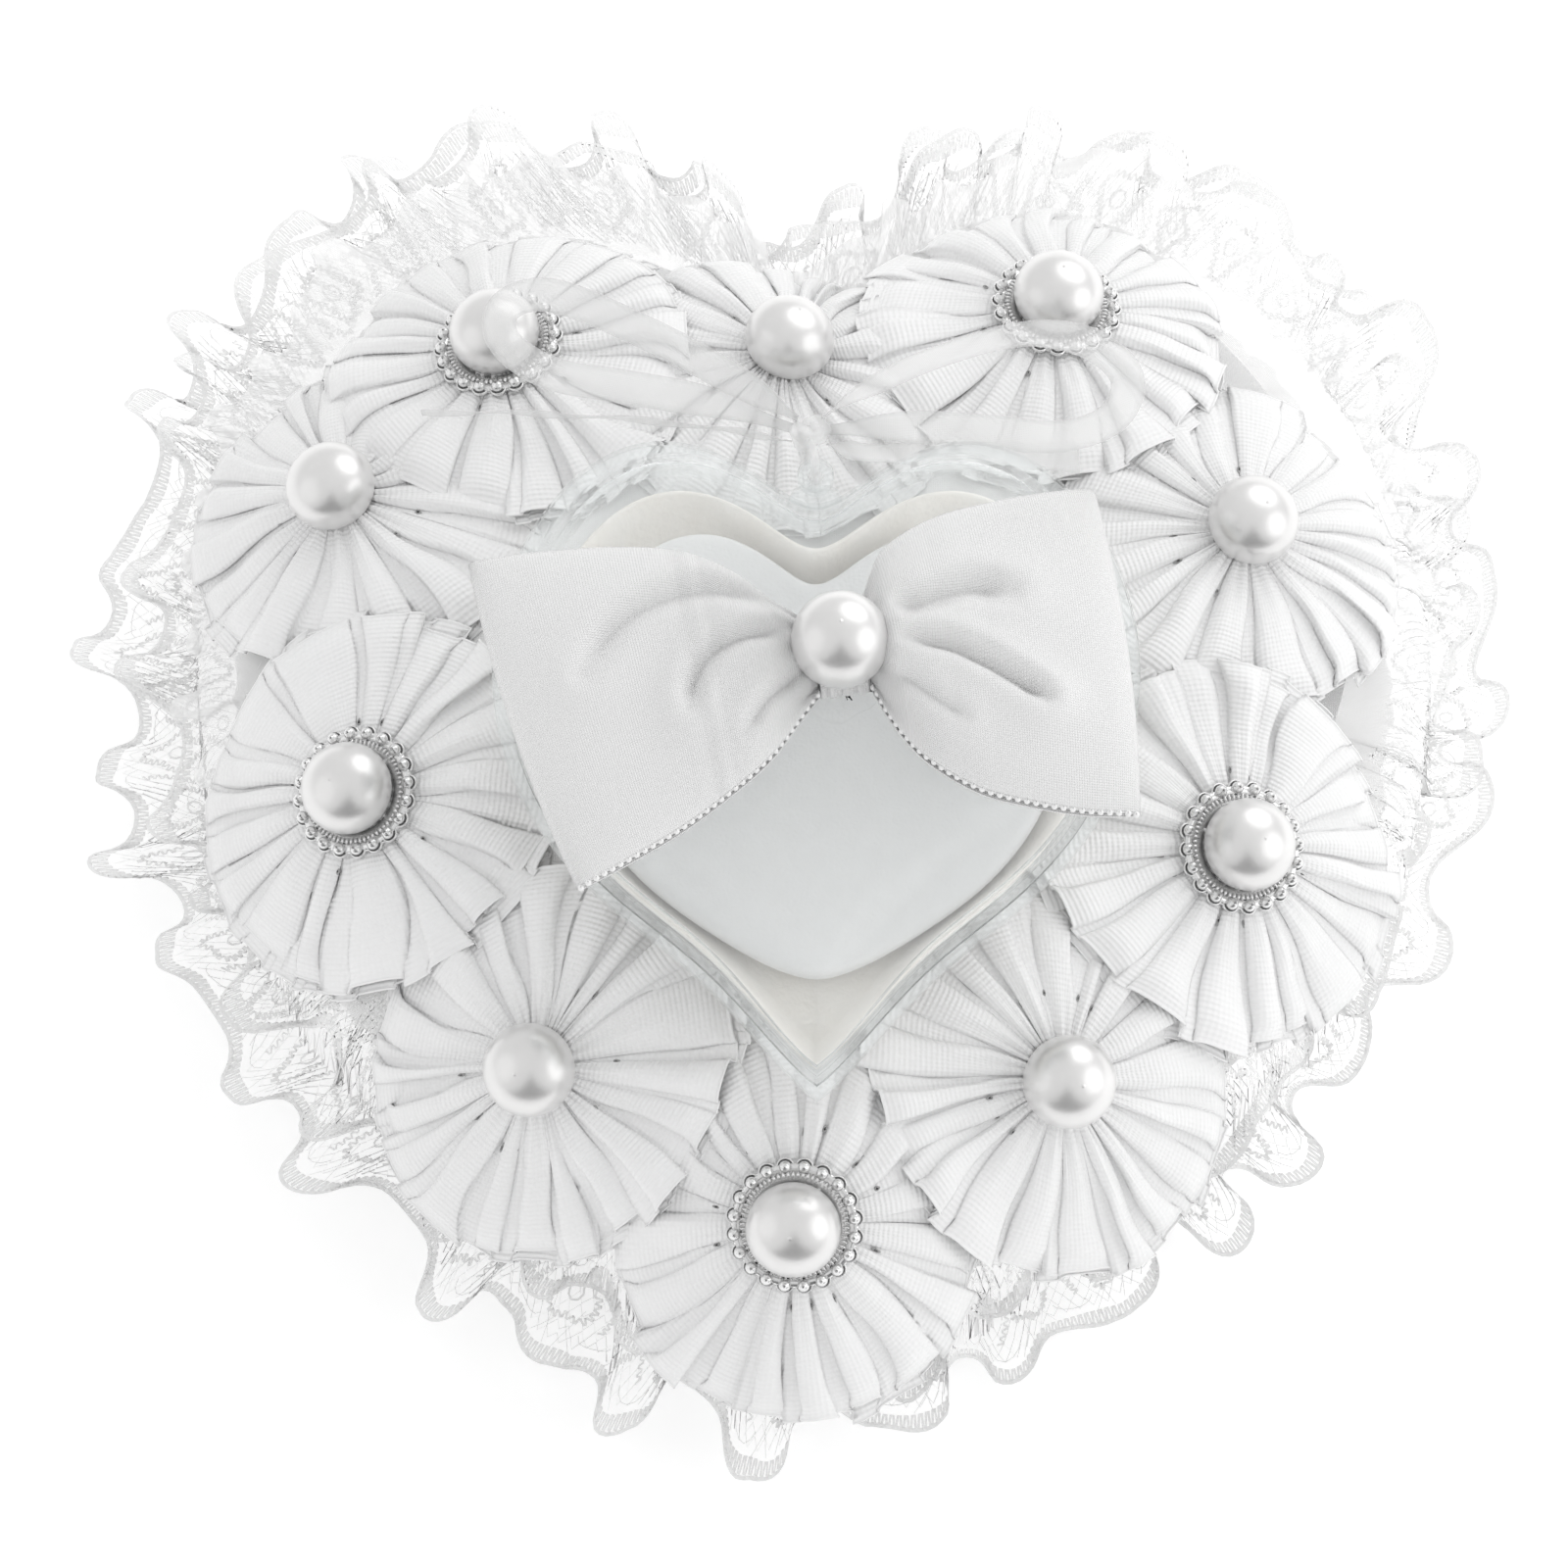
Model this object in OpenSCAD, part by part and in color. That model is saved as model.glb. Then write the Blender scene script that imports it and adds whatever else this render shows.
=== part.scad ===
// Heart-shaped ring bearer pillow with rosettes, lace and a clear ring box.
// Millimetres. The pillow stands on z = 0, its tip points to -Y and its cleft to +Y.

/* [Cushion] */
// Mean radius of the heart outline at the edge seam
cushion_r = 110; // [104:1:116]
// How much wider the lobes reach than the sides near the tip
cushion_lean = 21; // [16:1:24]
// How far the tip reaches past the plain outline
cushion_tip = 22; // [18:1:28]
// Depth of the cleft between the lobes
cushion_cleft = 43; // [36:1:48]
// Height of the edge seam
seam_z = 20; // [16:1:24]
// Height of the crown
crown_z = 58; // [54:1:59]
// Thickness of the satin covers with their lining
cover_t = 1; // [0.8:0.1:1.5]
// Share of the outline that rests flat on the table
base_share = 0.84; // [0.75:0.01:0.9]

/* [Lace] */
// Mean radius of the lace outline
lace_r = 128.2; // [122:0.1:130]
// Thickness of each gathered ruffle, across its folds' net
ruffle_t = 1.6; // [1.2:0.1:2]
// Number of folds round each ruffle
ruffle_folds = 36; // [24:1:40]
// Height of the folds at the outer edge
fold_h = 2.4; // [1:0.1:3]

/* [Rosettes] */
// Radius of a rosette, which is the width of its ribbon and its open middle
rosette_r = 30; // [26:1:31]
// Thickness of a rosette at its rim
rosette_t = 3.4; // [2.5:0.1:4]
// Thickness of a rosette at its middle
hub_t = 5.2; // [4.5:0.1:6]
// Diameter of the flat-backed pearls
pearl_d = 16; // [14:0.5:17]
// Height of the flat-backed pearls
pearl_h = 11; // [6:0.5:13]
// Diameter through the beads of a collar
collar_d = 20.5; // [19:0.5:22]
// Number of beads on a collar
collar_beads = 20; // [16:1:24]
// Diameter of a collar's beads
bead_d = 2.2; // [1.8:0.1:2.6]

/* [Ring box] */
// Mean radius of the box's heart outline
box_r = 52.9; // [52:0.1:54]
// Depth of each half of the box
box_depth = 21.4; // [20:0.1:22]
// Wall thickness
box_wall = 1.4; // [1.2:0.1:1.6]
// Thickness of each rim flange
flange_t = 1.6; // [1.4:0.1:2]
// Height of the plane where the two halves meet
parting_z = 82; // [81.5:0.1:83]
// Depth of the lid's lip inside the base
lip_h = 1.2; // [1:0.1:1.5]
// Diameter of the hole in each ring tab
tab_hole_d = 2.7; // [2.4:0.1:3]

/* [Bow] */
// Width of the finished bow
bow_w = 101; // [94:1:108]
// Width of the bow's ribbon
bow_ribbon_w = 60; // [54:1:62]
// Turn of the bow on the lid, in degrees
bow_turn = 9; // [0:1:15]
// Diameter of the pearl on the bow
bow_pearl_d = 16; // [14:0.5:18]

/* [Tie] */
// Diameter of the gathered sheer ribbon
tie_d = 1.8; // [1.4:0.1:2]

/* [Hidden] */
ROSETTES = [for (i = [1:10]) str(i < 10 ? "0" : "", i)];
COLLARED = [for (i = [2:2:10]) i];

// A heart is [mean radius, lean, tip reach, tip spread, tip power, cleft depth, cleft spread, cleft power].
CUSHION = [cushion_r, cushion_lean, cushion_tip, 24, 1.4, cushion_cleft, 18, 1.4];
LACE = [lace_r, 22, 23, 29, 1.8, 36, 17.5, 1.4];
BOX = [box_r, 14, 23.7, 18.8, 1.16, 24, 20.5, 2];
FOAM = [0.78 * box_r, 8, 6.2, 25, 1.6, 18, 20, 2];
AROUND = 60;
FOLD_STEPS = 4;
BOX_Y = -15;
CLEAR = 0.3;

// Middles of the rosettes, clockwise from the cleft
SPOTS = [
    [-7, 65.5], [42.5, 75], [74, 33], [71, -24], [40, -63.5],
    [-3, -88], [-45.5, -61], [-77, -14], [-81.5, 40.5], [-55, 68]
];

// Colours
SATIN = "white";
LACE_WHITE = "whitesmoke";
PEARL = "ivory";
CLEAR_PLASTIC = [0.93, 0.95, 0.97, 0.35];
CREAM = "antiquewhite";

// Distance from a heart's middle to its edge, at an angle measured clockwise from +Y
function heart_r(heart, a) =
    let (from_cleft = abs(a), from_tip = 180 - abs(a))
    heart[0] + heart[1] * cos(a)
    + heart[2] * exp(-pow(from_tip / heart[3], heart[4]))
    - heart[5] * exp(-pow(from_cleft / heart[6], heart[7]));

// One ring of a heart: its radius times grow, less inset, at height z
function heart_ring(heart, grow, inset, z, middle_y = 0) = [
    for (i = [0:AROUND - 1])
        let (a = -180 + 360 * i / AROUND, r = heart_r(heart, a) * grow - inset)
        [r * sin(a), middle_y + r * cos(a), z]
];

// Solid through a list of rings of equal length, each clockwise as seen from the last one
module loft(rings, closed = false) {
    n = len(rings[0]);
    last = len(rings) - 1;
    points = [for (ring = rings) each ring];
    walls = [
        for (k = [0:closed ? last : last - 1], i = [0:n - 1])
            let (up = (k + 1) % (last + 1), j = (i + 1) % n)
            each [[k * n + i, k * n + j, up * n + j], [k * n + i, up * n + j, up * n + i]]
    ];
    caps = closed ? [] : [[for (i = [n - 1:-1:0]) i], [for (i = [0:n - 1]) last * n + i]];
    polyhedron(points, concat(walls, caps), convexity = 6);
}

// ---- Cushion ----

CROWN_H = crown_z - seam_z;
CROWN_SHARES = [0.3, 0.5, 0.64, 0.75, 0.84, 0.91, 0.96, 0.99];
SKIRT_SHARES = [[0.5, 0.93], [0.8, 0.98]];

// Height of the crown at a share of the way from the middle to the seam
function crown_at(share) = seam_z + CROWN_H * pow(1 - pow(min(1, share), 4), 0.6);

// Height of the cushion's top at a point
function cushion_top(x, y) = crown_at(norm([x, y]) / heart_r(CUSHION, atan2(x, y)));

// The crown's rings from the seam to the middle, inset by the cover's thickness or not at all
function crown_rings(inset) = concat(
    [heart_ring(CUSHION, 1, inset, seam_z)],
    [for (i = [len(CROWN_SHARES) - 1:-1:0])
        heart_ring(CUSHION, CROWN_SHARES[i], inset, crown_at(CROWN_SHARES[i]) - inset)],
    [heart_ring(CUSHION, 0.05, 0, crown_z - inset)]
);

// The rising side's rings from the flat base to the seam
function skirt_rings(inset) = concat(
    [heart_ring(CUSHION, base_share, inset, inset)],
    [for (step = SKIRT_SHARES) heart_ring(CUSHION, step[1], inset, seam_z * step[0])],
    [heart_ring(CUSHION, 1, inset, seam_z)]
);

function reversed(list) = [for (i = [len(list) - 1:-1:0]) list[i]];

module bottom_cover() {
    color(SATIN) loft(concat(skirt_rings(0), reversed(skirt_rings(cover_t))));
}

module top_cover() {
    color(SATIN) loft(concat(reversed(crown_rings(cover_t)), crown_rings(0)));
}

module cushion_filling() {
    crown = crown_rings(cover_t);
    color(LACE_WHITE) loft(concat(skirt_rings(cover_t), [for (i = [1:len(crown) - 1]) crown[i]]));
}

// ---- Lace ----

// A fold line round the heart: part is 0 at the seam and 1 at the lace's edge
function fold_ring(part, z, inset, phase) = [
    for (i = [0:ruffle_folds * FOLD_STEPS - 1])
        let (
            a = -180 + 360 * i / (ruffle_folds * FOLD_STEPS),
            inner = heart_r(CUSHION, a) + CLEAR + 0.5,
            r = inner + part * (heart_r(LACE, a) - inset - inner),
            wave = fold_h * part * sin(ruffle_folds * a + phase)
        )
        [r * sin(a), r * cos(a), z + wave]
];
LACE_EDGE = fold_ring(1, 0, 0, 0);
LACE_Y = -(max([for (p = LACE_EDGE) p[1]]) + min([for (p = LACE_EDGE) p[1]])) / 2;

// A gathered strip from the seam out: heights at the seam, the middle and the edge
module ruffle(z_in, z_mid, z_out, inset, phase) {
    bottom = [
        fold_ring(0, z_in, inset, phase),
        fold_ring(0.5, z_mid, inset, phase),
        fold_ring(1, z_out, inset, phase)
    ];
    top = [for (ring = bottom) [for (p = ring) p + [0, 0, ruffle_t]]];
    translate([0, LACE_Y, 0]) loft(concat(bottom, reversed(top)), closed = true);
}

module lace_ruffle_lower() {
    color(LACE_WHITE) ruffle(15, 11, 5, 0, 0);
}

module lace_ruffle_upper() {
    color(LACE_WHITE) ruffle(18, 18.5, 16.5, 4, 120);
}

module heading_ruffle() {
    color(SATIN) ruffle(21, 24, 25.5, 12, 240);
}

// ---- Rosettes ----

ROSETTE_STEPS = 24;
SPOT_GAP = 0.5;
OUTER_DROP = 0.24;
EDGE_SHARE = 0.95;
ROSETTE_LIFT = 1;
NORMAL_STEP = 6;

// How far one can go from a spot along a unit direction and stay inside the cushion's edge
function way_to_edge(spot, way, low, high, halvings = 7) =
    let (middle = (low + high) / 2, p = spot + middle * way)
    halvings == 0 ? low
    : norm(p) < EDGE_SHARE * heart_r(CUSHION, atan2(p[0], p[1]))
        ? way_to_edge(spot, way, middle, high, halvings - 1)
        : way_to_edge(spot, way, low, middle, halvings - 1);

// How far rosette i reaches at an angle: less down the slope, inside the cushion's edge,
// and up to halfway to its neighbours
function rosette_reach(i, a) =
    let (
        spot = SPOTS[i - 1],
        outward = atan2(spot[0], spot[1]),
        sloped = rosette_r * (1 - OUTER_DROP * max(0, cos(a - outward))),
        full = way_to_edge(spot, [sin(a), cos(a)], 0, sloped),
        limits = [
            for (k = [i - 2, i])
                let (
                    way = SPOTS[(k + 10) % 10] - spot,
                    toward = cos(a - atan2(way[0], way[1]))
                )
                toward > 0.05 ? (norm(way) / 2 - SPOT_GAP) / toward : full
        ]
    )
    min(full, min(limits));

// A ring of rosette i at a share of its reach, a distance above the cushion
function rosette_ring(i, share, up) = [
    for (k = [0:ROSETTE_STEPS - 1])
        let (
            a = -180 + 360 * k / ROSETTE_STEPS,
            r = rosette_reach(i, a) * share,
            x = SPOTS[i - 1][0] + r * sin(a),
            y = SPOTS[i - 1][1] + r * cos(a)
        )
        [x, y, cushion_top(x, y) + up]
];

module rosette(i) {
    under = [for (share = [0.1, 0.4, 0.7, 0.88, 1]) rosette_ring(i, share, ROSETTE_LIFT)];
    over = [
        rosette_ring(i, 1, rosette_t),
        rosette_ring(i, 0.85, rosette_t + 0.6),
        rosette_ring(i, 0.6, rosette_t + 0.8),
        rosette_ring(i, 0.3, hub_t),
        rosette_ring(i, 0.1, hub_t)
    ];
    color(SATIN) loft(concat(under, over));
}

// Stands its children on the cushion at spot i, square to the slope and lifted off it
module on_spot(i, lift) {
    x = SPOTS[i - 1][0];
    y = SPOTS[i - 1][1];
    fall_x = (cushion_top(x - NORMAL_STEP, y) - cushion_top(x + NORMAL_STEP, y)) / (2 * NORMAL_STEP);
    fall_y = (cushion_top(x, y - NORMAL_STEP) - cushion_top(x, y + NORMAL_STEP)) / (2 * NORMAL_STEP);
    translate([x, y, cushion_top(x, y)])
        rotate([0, atan(norm([fall_x, fall_y])), atan2(fall_y, fall_x)])
        translate([0, 0, lift])
        children();
}

// A ball with a flat back: its height is measured from the flat
module half_pearl(d, h) {
    difference() {
        translate([0, 0, h - d / 2]) sphere(d = d, $fn = 64);
        translate([0, 0, -d]) cube(2 * d, center = true);
    }
}

PEARL_LIFT = hub_t + 1.1;

module rosette_pearl(i) {
    color(PEARL) on_spot(i, PEARL_LIFT) half_pearl(pearl_d, pearl_h);
}

module pearl_collar(i) {
    plate_t = 1;
    color(PEARL) on_spot(i, PEARL_LIFT + 0.1) union() {
        difference() {
            cylinder(d = collar_d, h = plate_t, $fn = 64);
            translate([0, 0, -1]) cylinder(d = pearl_d + 1, h = plate_t + 2, $fn = 64);
        }
        for (k = [0:collar_beads - 1])
            rotate([0, 0, 360 * k / collar_beads])
            translate([collar_d / 2, 0, plate_t])
            sphere(d = bead_d, $fn = 24);
    }
}

// ---- Ring box ----

BASE_Z = parting_z - box_depth;
RIM_SHARE = 0.955;
LIP_GAP = 0.75;
LIP_T = 0.9;
LID_GAP = 0.1;

// Half-shell profile from the middle of its floor to its rim: share of the outline, depth
SHELL = [
    [0.06, 1], [0.45, 0.985], [0.62, 0.935], [0.76, 0.8],
    [0.86, 0.56], [0.925, 0.28], [RIM_SHARE, 0.09]
];

// Rings of a half shell. side is -1 for the base and 1 for the lid.
function shell_rings(side, inset) = [
    for (step = SHELL)
        heart_ring(BOX, step[0], step == SHELL[0] ? 0 : inset,
            parting_z + side * (box_depth * step[1] - inset), BOX_Y)
];

function rim_ring(share, inset, z) = heart_ring(BOX, share, inset, z, BOX_Y);

TAB_Y = 33.4;
TAB_R = 3.1;
WEB_W = 9;

// Outline of a tab's web: its inner side follows the rim round the cleft
WEB = [[0, 26.6], [WEB_W / 2, 28.8], [WEB_W / 2, TAB_Y - 2], [-WEB_W / 2, TAB_Y - 2], [-WEB_W / 2, 28.8]];

// Ring tab in the cleft: a web between the lobes and a ring with a hole
module ring_tab(z) {
    translate([0, 0, z]) difference() {
        union() {
            linear_extrude(flange_t) polygon(WEB);
            translate([0, TAB_Y, 0]) cylinder(r = TAB_R, h = flange_t, $fn = 48);
        }
        translate([0, TAB_Y, -1]) cylinder(d = tab_hole_d, h = flange_t + 2, $fn = 48);
    }
}

module box_base() {
    color(CLEAR_PLASTIC) union() {
        loft(concat(
            shell_rings(-1, 0),
            [rim_ring(RIM_SHARE, 0, parting_z - flange_t)],
            [rim_ring(1, 0, parting_z - flange_t), rim_ring(1, 0, parting_z)],
            [rim_ring(RIM_SHARE, box_wall, parting_z)],
            reversed(shell_rings(-1, box_wall))
        ));
        ring_tab(parting_z - flange_t);
    }
}

module box_lid() {
    seat = parting_z + LID_GAP;
    lip_out = box_wall + LIP_GAP;
    lip_in = lip_out + LIP_T;
    color(CLEAR_PLASTIC) union() {
        loft(concat(
            [for (i = [0:len(SHELL) - 2]) shell_rings(1, box_wall)[i]],
            [rim_ring(RIM_SHARE, lip_in, parting_z + 1), rim_ring(RIM_SHARE, lip_in, parting_z - lip_h)],
            [rim_ring(RIM_SHARE, lip_out, parting_z - lip_h), rim_ring(RIM_SHARE, lip_out, seat)],
            [rim_ring(1, 0, seat), rim_ring(1, 0, seat + flange_t)],
            [rim_ring(RIM_SHARE, 0, seat + flange_t)],
            reversed([for (i = [0:len(SHELL) - 2]) shell_rings(1, 0)[i]])
        ));
        ring_tab(seat);
    }
}

module base_adhesive() {
    color(CLEAR_PLASTIC)
        translate([0, BOX_Y, crown_z + 0.05])
        cylinder(r = 20, h = BASE_Z - crown_z - 0.1, $fn = 64);
}

LINING_Z = BASE_Z + box_wall + 0.6;
LINING_FLOOR_Z = 70.5;
LINING_TOP_Z = 75.8;
LINING_T = 0.9;
FOAM_Z = LINING_FLOOR_Z + 0.2;
FOAM_TOP_Z = 77;

// Pad under the foam with a thin lip that stands up along the box's wall
module box_lining() {
    inner = box_wall + LINING_T;
    color(CREAM) loft([
        heart_ring(BOX, 0.4, box_wall, LINING_Z, BOX_Y),
        heart_ring(BOX, 0.58, box_wall, LINING_Z + 1.2, BOX_Y),
        heart_ring(BOX, 0.75, box_wall, LINING_FLOOR_Z - 2.2, BOX_Y),
        heart_ring(BOX, 0.83, box_wall, LINING_FLOOR_Z + 0.7, BOX_Y),
        heart_ring(BOX, 0.885, box_wall, LINING_TOP_Z, BOX_Y),
        heart_ring(BOX, 0.885, inner, LINING_TOP_Z, BOX_Y),
        heart_ring(BOX, 0.835, inner, LINING_FLOOR_Z + 1.1, BOX_Y),
        heart_ring(BOX, 0.82, inner, LINING_FLOOR_Z, BOX_Y)
    ]);
}

SLIT = [40, 1.2, 5];
SLIT_Y = -4;

module ring_foam() {
    color(SATIN) difference() {
        loft([
            heart_ring(FOAM, 1, 2.4, FOAM_Z, BOX_Y),
            heart_ring(FOAM, 1, 0, FOAM_TOP_Z - 2.5, BOX_Y),
            heart_ring(FOAM, 1, 0, FOAM_TOP_Z - 1.2, BOX_Y),
            heart_ring(FOAM, 1, 1.2, FOAM_TOP_Z, BOX_Y)
        ]);
        translate([-SLIT[0] / 2, SLIT_Y, FOAM_TOP_Z - SLIT[2]]) cube(SLIT + [0, 0, 1]);
    }
}

// ---- Bow ----

LID_TOP_Z = parting_z + box_depth;
BOW_SPOT = [3.7, -10.6];
WAIST_Z = LID_TOP_Z + 5.2;
WAIST = [6.4, 2.4];
WRAP_T = 1;
WRAP_HALF = 4;
BOW_SIDES = 16;

// Stations along half of the bow: place, half width, half thickness and height over the waist
BOW_STATIONS = [
    [0.12, 0.24, 0.25, 0], [0.22, 0.42, 0.6, 1.2], [0.38, 0.66, 0.95, 3.4],
    [0.6, 0.86, 1, 3.6], [0.82, 0.96, 0.8, 2.4], [0.96, 1, 0.45, 1.6], [1, 0.99, 0.25, 1.4]
];
LOOP_T = 6.6;

function bow_ring(u, half_w, half_t, z) = [
    for (i = [0:BOW_SIDES - 1])
        let (a = -180 + 360 * i / BOW_SIDES)
        [u, half_w * sin(a), z + half_t * cos(a)]
];

function bow_station(side, s) = bow_ring(
    side * s[0] * bow_w / 2,
    s[1] * bow_ribbon_w / 2,
    s[2] * LOOP_T,
    WAIST_Z + s[3]
);

module on_bow() {
    translate([BOW_SPOT[0], BOW_SPOT[1], 0]) rotate([0, 0, bow_turn]) children();
}

module bow_ribbon() {
    color(SATIN) on_bow() loft(concat(
        [for (i = [len(BOW_STATIONS) - 1:-1:0]) bow_station(-1, BOW_STATIONS[i])],
        [bow_ring(-WRAP_HALF - 0.3, WAIST[0], WAIST[1], WAIST_Z)],
        [bow_ring(WRAP_HALF + 0.3, WAIST[0], WAIST[1], WAIST_Z)],
        [for (s = BOW_STATIONS) bow_station(1, s)]
    ));
}

module bow_wrap() {
    inner = WAIST + [0.2, 0.2];
    outer = inner + [WRAP_T, WRAP_T];
    color(SATIN) on_bow() loft([
        bow_ring(WRAP_HALF, inner[0], inner[1], WAIST_Z),
        bow_ring(-WRAP_HALF, inner[0], inner[1], WAIST_Z),
        bow_ring(-WRAP_HALF, outer[0], outer[1], WAIST_Z),
        bow_ring(WRAP_HALF, outer[0], outer[1], WAIST_Z)
    ], closed = true);
}

WRAP_TOP_Z = WAIST_Z + WAIST[1] + 0.2 + WRAP_T;
WRAP_BOTTOM_Z = WAIST_Z - WAIST[1] - 0.2 - WRAP_T;

module bow_adhesive() {
    color(CLEAR_PLASTIC)
        translate([BOW_SPOT[0], BOW_SPOT[1], LID_TOP_Z + 0.05])
        cylinder(r = 5.5, h = WRAP_BOTTOM_Z - LID_TOP_Z - 0.15, $fn = 48);
}

module bow_pearl() {
    color(PEARL)
        translate([BOW_SPOT[0], BOW_SPOT[1], WRAP_TOP_Z + 0.05])
        half_pearl(bow_pearl_d, 0.84 * bow_pearl_d);
}

// ---- Tie ----

KNOT = [-1, 44.5, 75.5];
KNOT_R = 3.6;
TIE_SIDES = 8;

// Routes of the sheer ribbon, by hand
LOOP_LEFT = [
    [-3, 46.5, 77.2], [-10, 51, 78], [-26, 61, 77], [-42, 70.5, 73.5], [-50, 72.5, 72],
    [-55, 69.5, 71.5], [-54, 63, 72], [-46, 57, 73], [-33, 53.5, 75], [-18, 50, 76], [-4, 45.5, 75.3]
];
LOOP_RIGHT = [
    [1, 46.5, 77.2], [8, 51, 78], [20, 57.5, 78], [36, 63, 76], [48, 62.5, 73.5],
    [54.5, 57, 71.5], [52, 49.5, 71], [43, 45.5, 72], [30, 45.5, 74], [14, 45.5, 76], [2, 45.2, 75.3]
];
TAIL_LEFT = [
    [-4, 44, 73.2], [-14, 46, 73], [-28, 48.5, 71.5], [-42, 50.5, 69.5], [-56, 52, 67.5], [-69, 52.5, 66]
];
TAIL_RIGHT = [
    [2, 43.4, 73.3], [8, 42, 73.5], [19, 41.6, 72.5], [30, 42.2, 71], [39, 42.8, 69.5], [46, 43, 68.5]
];
STRAND = [
    [-1, 42, 77], [-0.7, 39.5, 81.5], [-0.3, 36.8, 85.2], [0, 34.2, 85.6], [0, 33.4, 83.5],
    [0, 33.4, 79], [0, 34, 77.6], [-0.4, 37, 76], [-1, 41.5, 75]
];

// A smooth curve through a route, with each of its spans cut in three
function smooth_route(route) = let (n = len(route)) [
    for (k = [0:n - 2], t = [0:1 / 3:0.9])
        let (
            a = route[max(0, k - 1)],
            b = route[k],
            c = route[k + 1],
            d = route[min(n - 1, k + 2)]
        )
        b + (c - a) * t / 2 + (2 * a - 5 * b + 4 * c - d) * t * t / 2
        + (3 * b - a - 3 * c + d) * t * t * t / 2,
    route[n - 1]
];

function unit(v) = v / norm(v);

// Tube of a given diameter along points, its sides set by the level direction across the way
module tube(points, d) {
    n = len(points);
    rings = [
        for (k = [0:n - 1])
            let (
                way = unit(points[min(n - 1, k + 1)] - points[max(0, k - 1)]),
                guess = abs(way[2]) > 0.9 ? [1, 0, 0] : [0, 0, 1],
                across = unit(cross(way, guess)),
                up = cross(across, way)
            )
            [for (i = [0:TIE_SIDES - 1])
                let (a = 360 * i / TIE_SIDES)
                points[k] + d / 2 * (up * cos(a) + across * sin(a))]
    ];
    loft(rings);
}

module tie_strand() {
    strand_d = 1.5;
    color(LACE_WHITE) tube(STRAND, strand_d);
}

module tie_knot() {
    color(LACE_WHITE) translate(KNOT) sphere(r = KNOT_R, $fn = 32);
}

module tie_ribbon(route) {
    every_other = [for (k = [0:2:len(route) - 2]) route[k]];
    color(LACE_WHITE) tube(concat(every_other, [route[len(route) - 1]]), tie_d);
}

bottom_cover();
top_cover();
cushion_filling();
lace_ruffle_lower();
lace_ruffle_upper();
heading_ruffle();
for (i = [1:10]) {
    rosette(i);
    rosette_pearl(i);
}
for (i = COLLARED)
    pearl_collar(i);
base_adhesive();
box_base();
box_lining();
ring_foam();
box_lid();
bow_adhesive();
bow_ribbon();
bow_wrap();
bow_pearl();
tie_strand();
tie_knot();
tie_ribbon(smooth_route(LOOP_LEFT));  // tie_loop_left
tie_ribbon(smooth_route(LOOP_RIGHT));  // tie_loop_right
tie_ribbon(smooth_route(TAIL_LEFT));  // tie_tail_left
tie_ribbon(smooth_route(TAIL_RIGHT));  // tie_tail_right
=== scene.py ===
"""The looks of the heart-shaped ring bearer pillow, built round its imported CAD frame.

Lengths are millimetres in the row frame, as in the CAD source, and turn into metres as a mesh is made.
Angles round a heart are degrees clockwise from +Y, seen from above.
"""

import math

import bpy
import numpy as np
from mathutils import Matrix, Vector


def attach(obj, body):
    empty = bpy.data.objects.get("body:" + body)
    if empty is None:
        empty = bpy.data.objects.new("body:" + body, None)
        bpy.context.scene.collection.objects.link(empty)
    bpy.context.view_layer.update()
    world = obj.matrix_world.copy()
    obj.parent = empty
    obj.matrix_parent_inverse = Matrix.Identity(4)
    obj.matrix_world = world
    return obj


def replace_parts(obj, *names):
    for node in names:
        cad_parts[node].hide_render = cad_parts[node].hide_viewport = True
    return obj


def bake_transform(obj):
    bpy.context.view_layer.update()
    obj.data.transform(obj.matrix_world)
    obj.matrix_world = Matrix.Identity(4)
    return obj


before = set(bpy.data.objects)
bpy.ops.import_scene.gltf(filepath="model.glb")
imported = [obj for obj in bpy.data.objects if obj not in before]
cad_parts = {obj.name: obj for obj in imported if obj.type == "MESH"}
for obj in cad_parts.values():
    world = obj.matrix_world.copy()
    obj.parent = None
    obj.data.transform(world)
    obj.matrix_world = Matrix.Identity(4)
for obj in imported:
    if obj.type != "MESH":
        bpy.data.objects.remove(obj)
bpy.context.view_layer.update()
MM = 0.001

# ---- Camera ----

TARGET = Vector((-0.0054, -0.0072, 0.040))
CAMERA_DISTANCE = 0.9
CAMERA_ELEVATION = math.radians(70)
CAMERA_LENS, CAMERA_SENSOR = 117.3, 36


def make_camera():
    data = bpy.data.cameras.new("camera")
    data.lens = CAMERA_LENS
    data.sensor_width = CAMERA_SENSOR
    data.dof.use_dof = False
    camera = bpy.data.objects.new("camera", data)
    bpy.context.scene.collection.objects.link(camera)
    back = Vector((0, -math.cos(CAMERA_ELEVATION), math.sin(CAMERA_ELEVATION)))
    camera.location = TARGET + back * CAMERA_DISTANCE
    camera.rotation_mode = "QUATERNION"
    camera.rotation_quaternion = (-back).to_track_quat("-Z", "Y")
    bpy.context.scene.camera = camera


make_camera()

# ---- Hearts: the cushion, the box and the foam as the CAD source draws them, and the lace as it lies ----

# A heart is mean radius, lean, tip reach, tip spread, tip power, cleft depth, cleft spread, cleft power
CUSHION = (110, 21, 22, 24, 1.4, 43, 18, 1.4)
LACE = (132.5, 31.5, 15, 29, 1.8, 50, 17.5, 1.4)
LACE_SHOULDERS = 4.9
BOX = (52.9, 14, 23.7, 18.8, 1.16, 24, 20.5, 2)
FOAM = (41.26, 8, 6.2, 25, 1.6, 18, 20, 2)
BOX_Y = -15
SEAM_Z = 20
CROWN_H = 38
BASE_SHARE = 0.84
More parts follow.
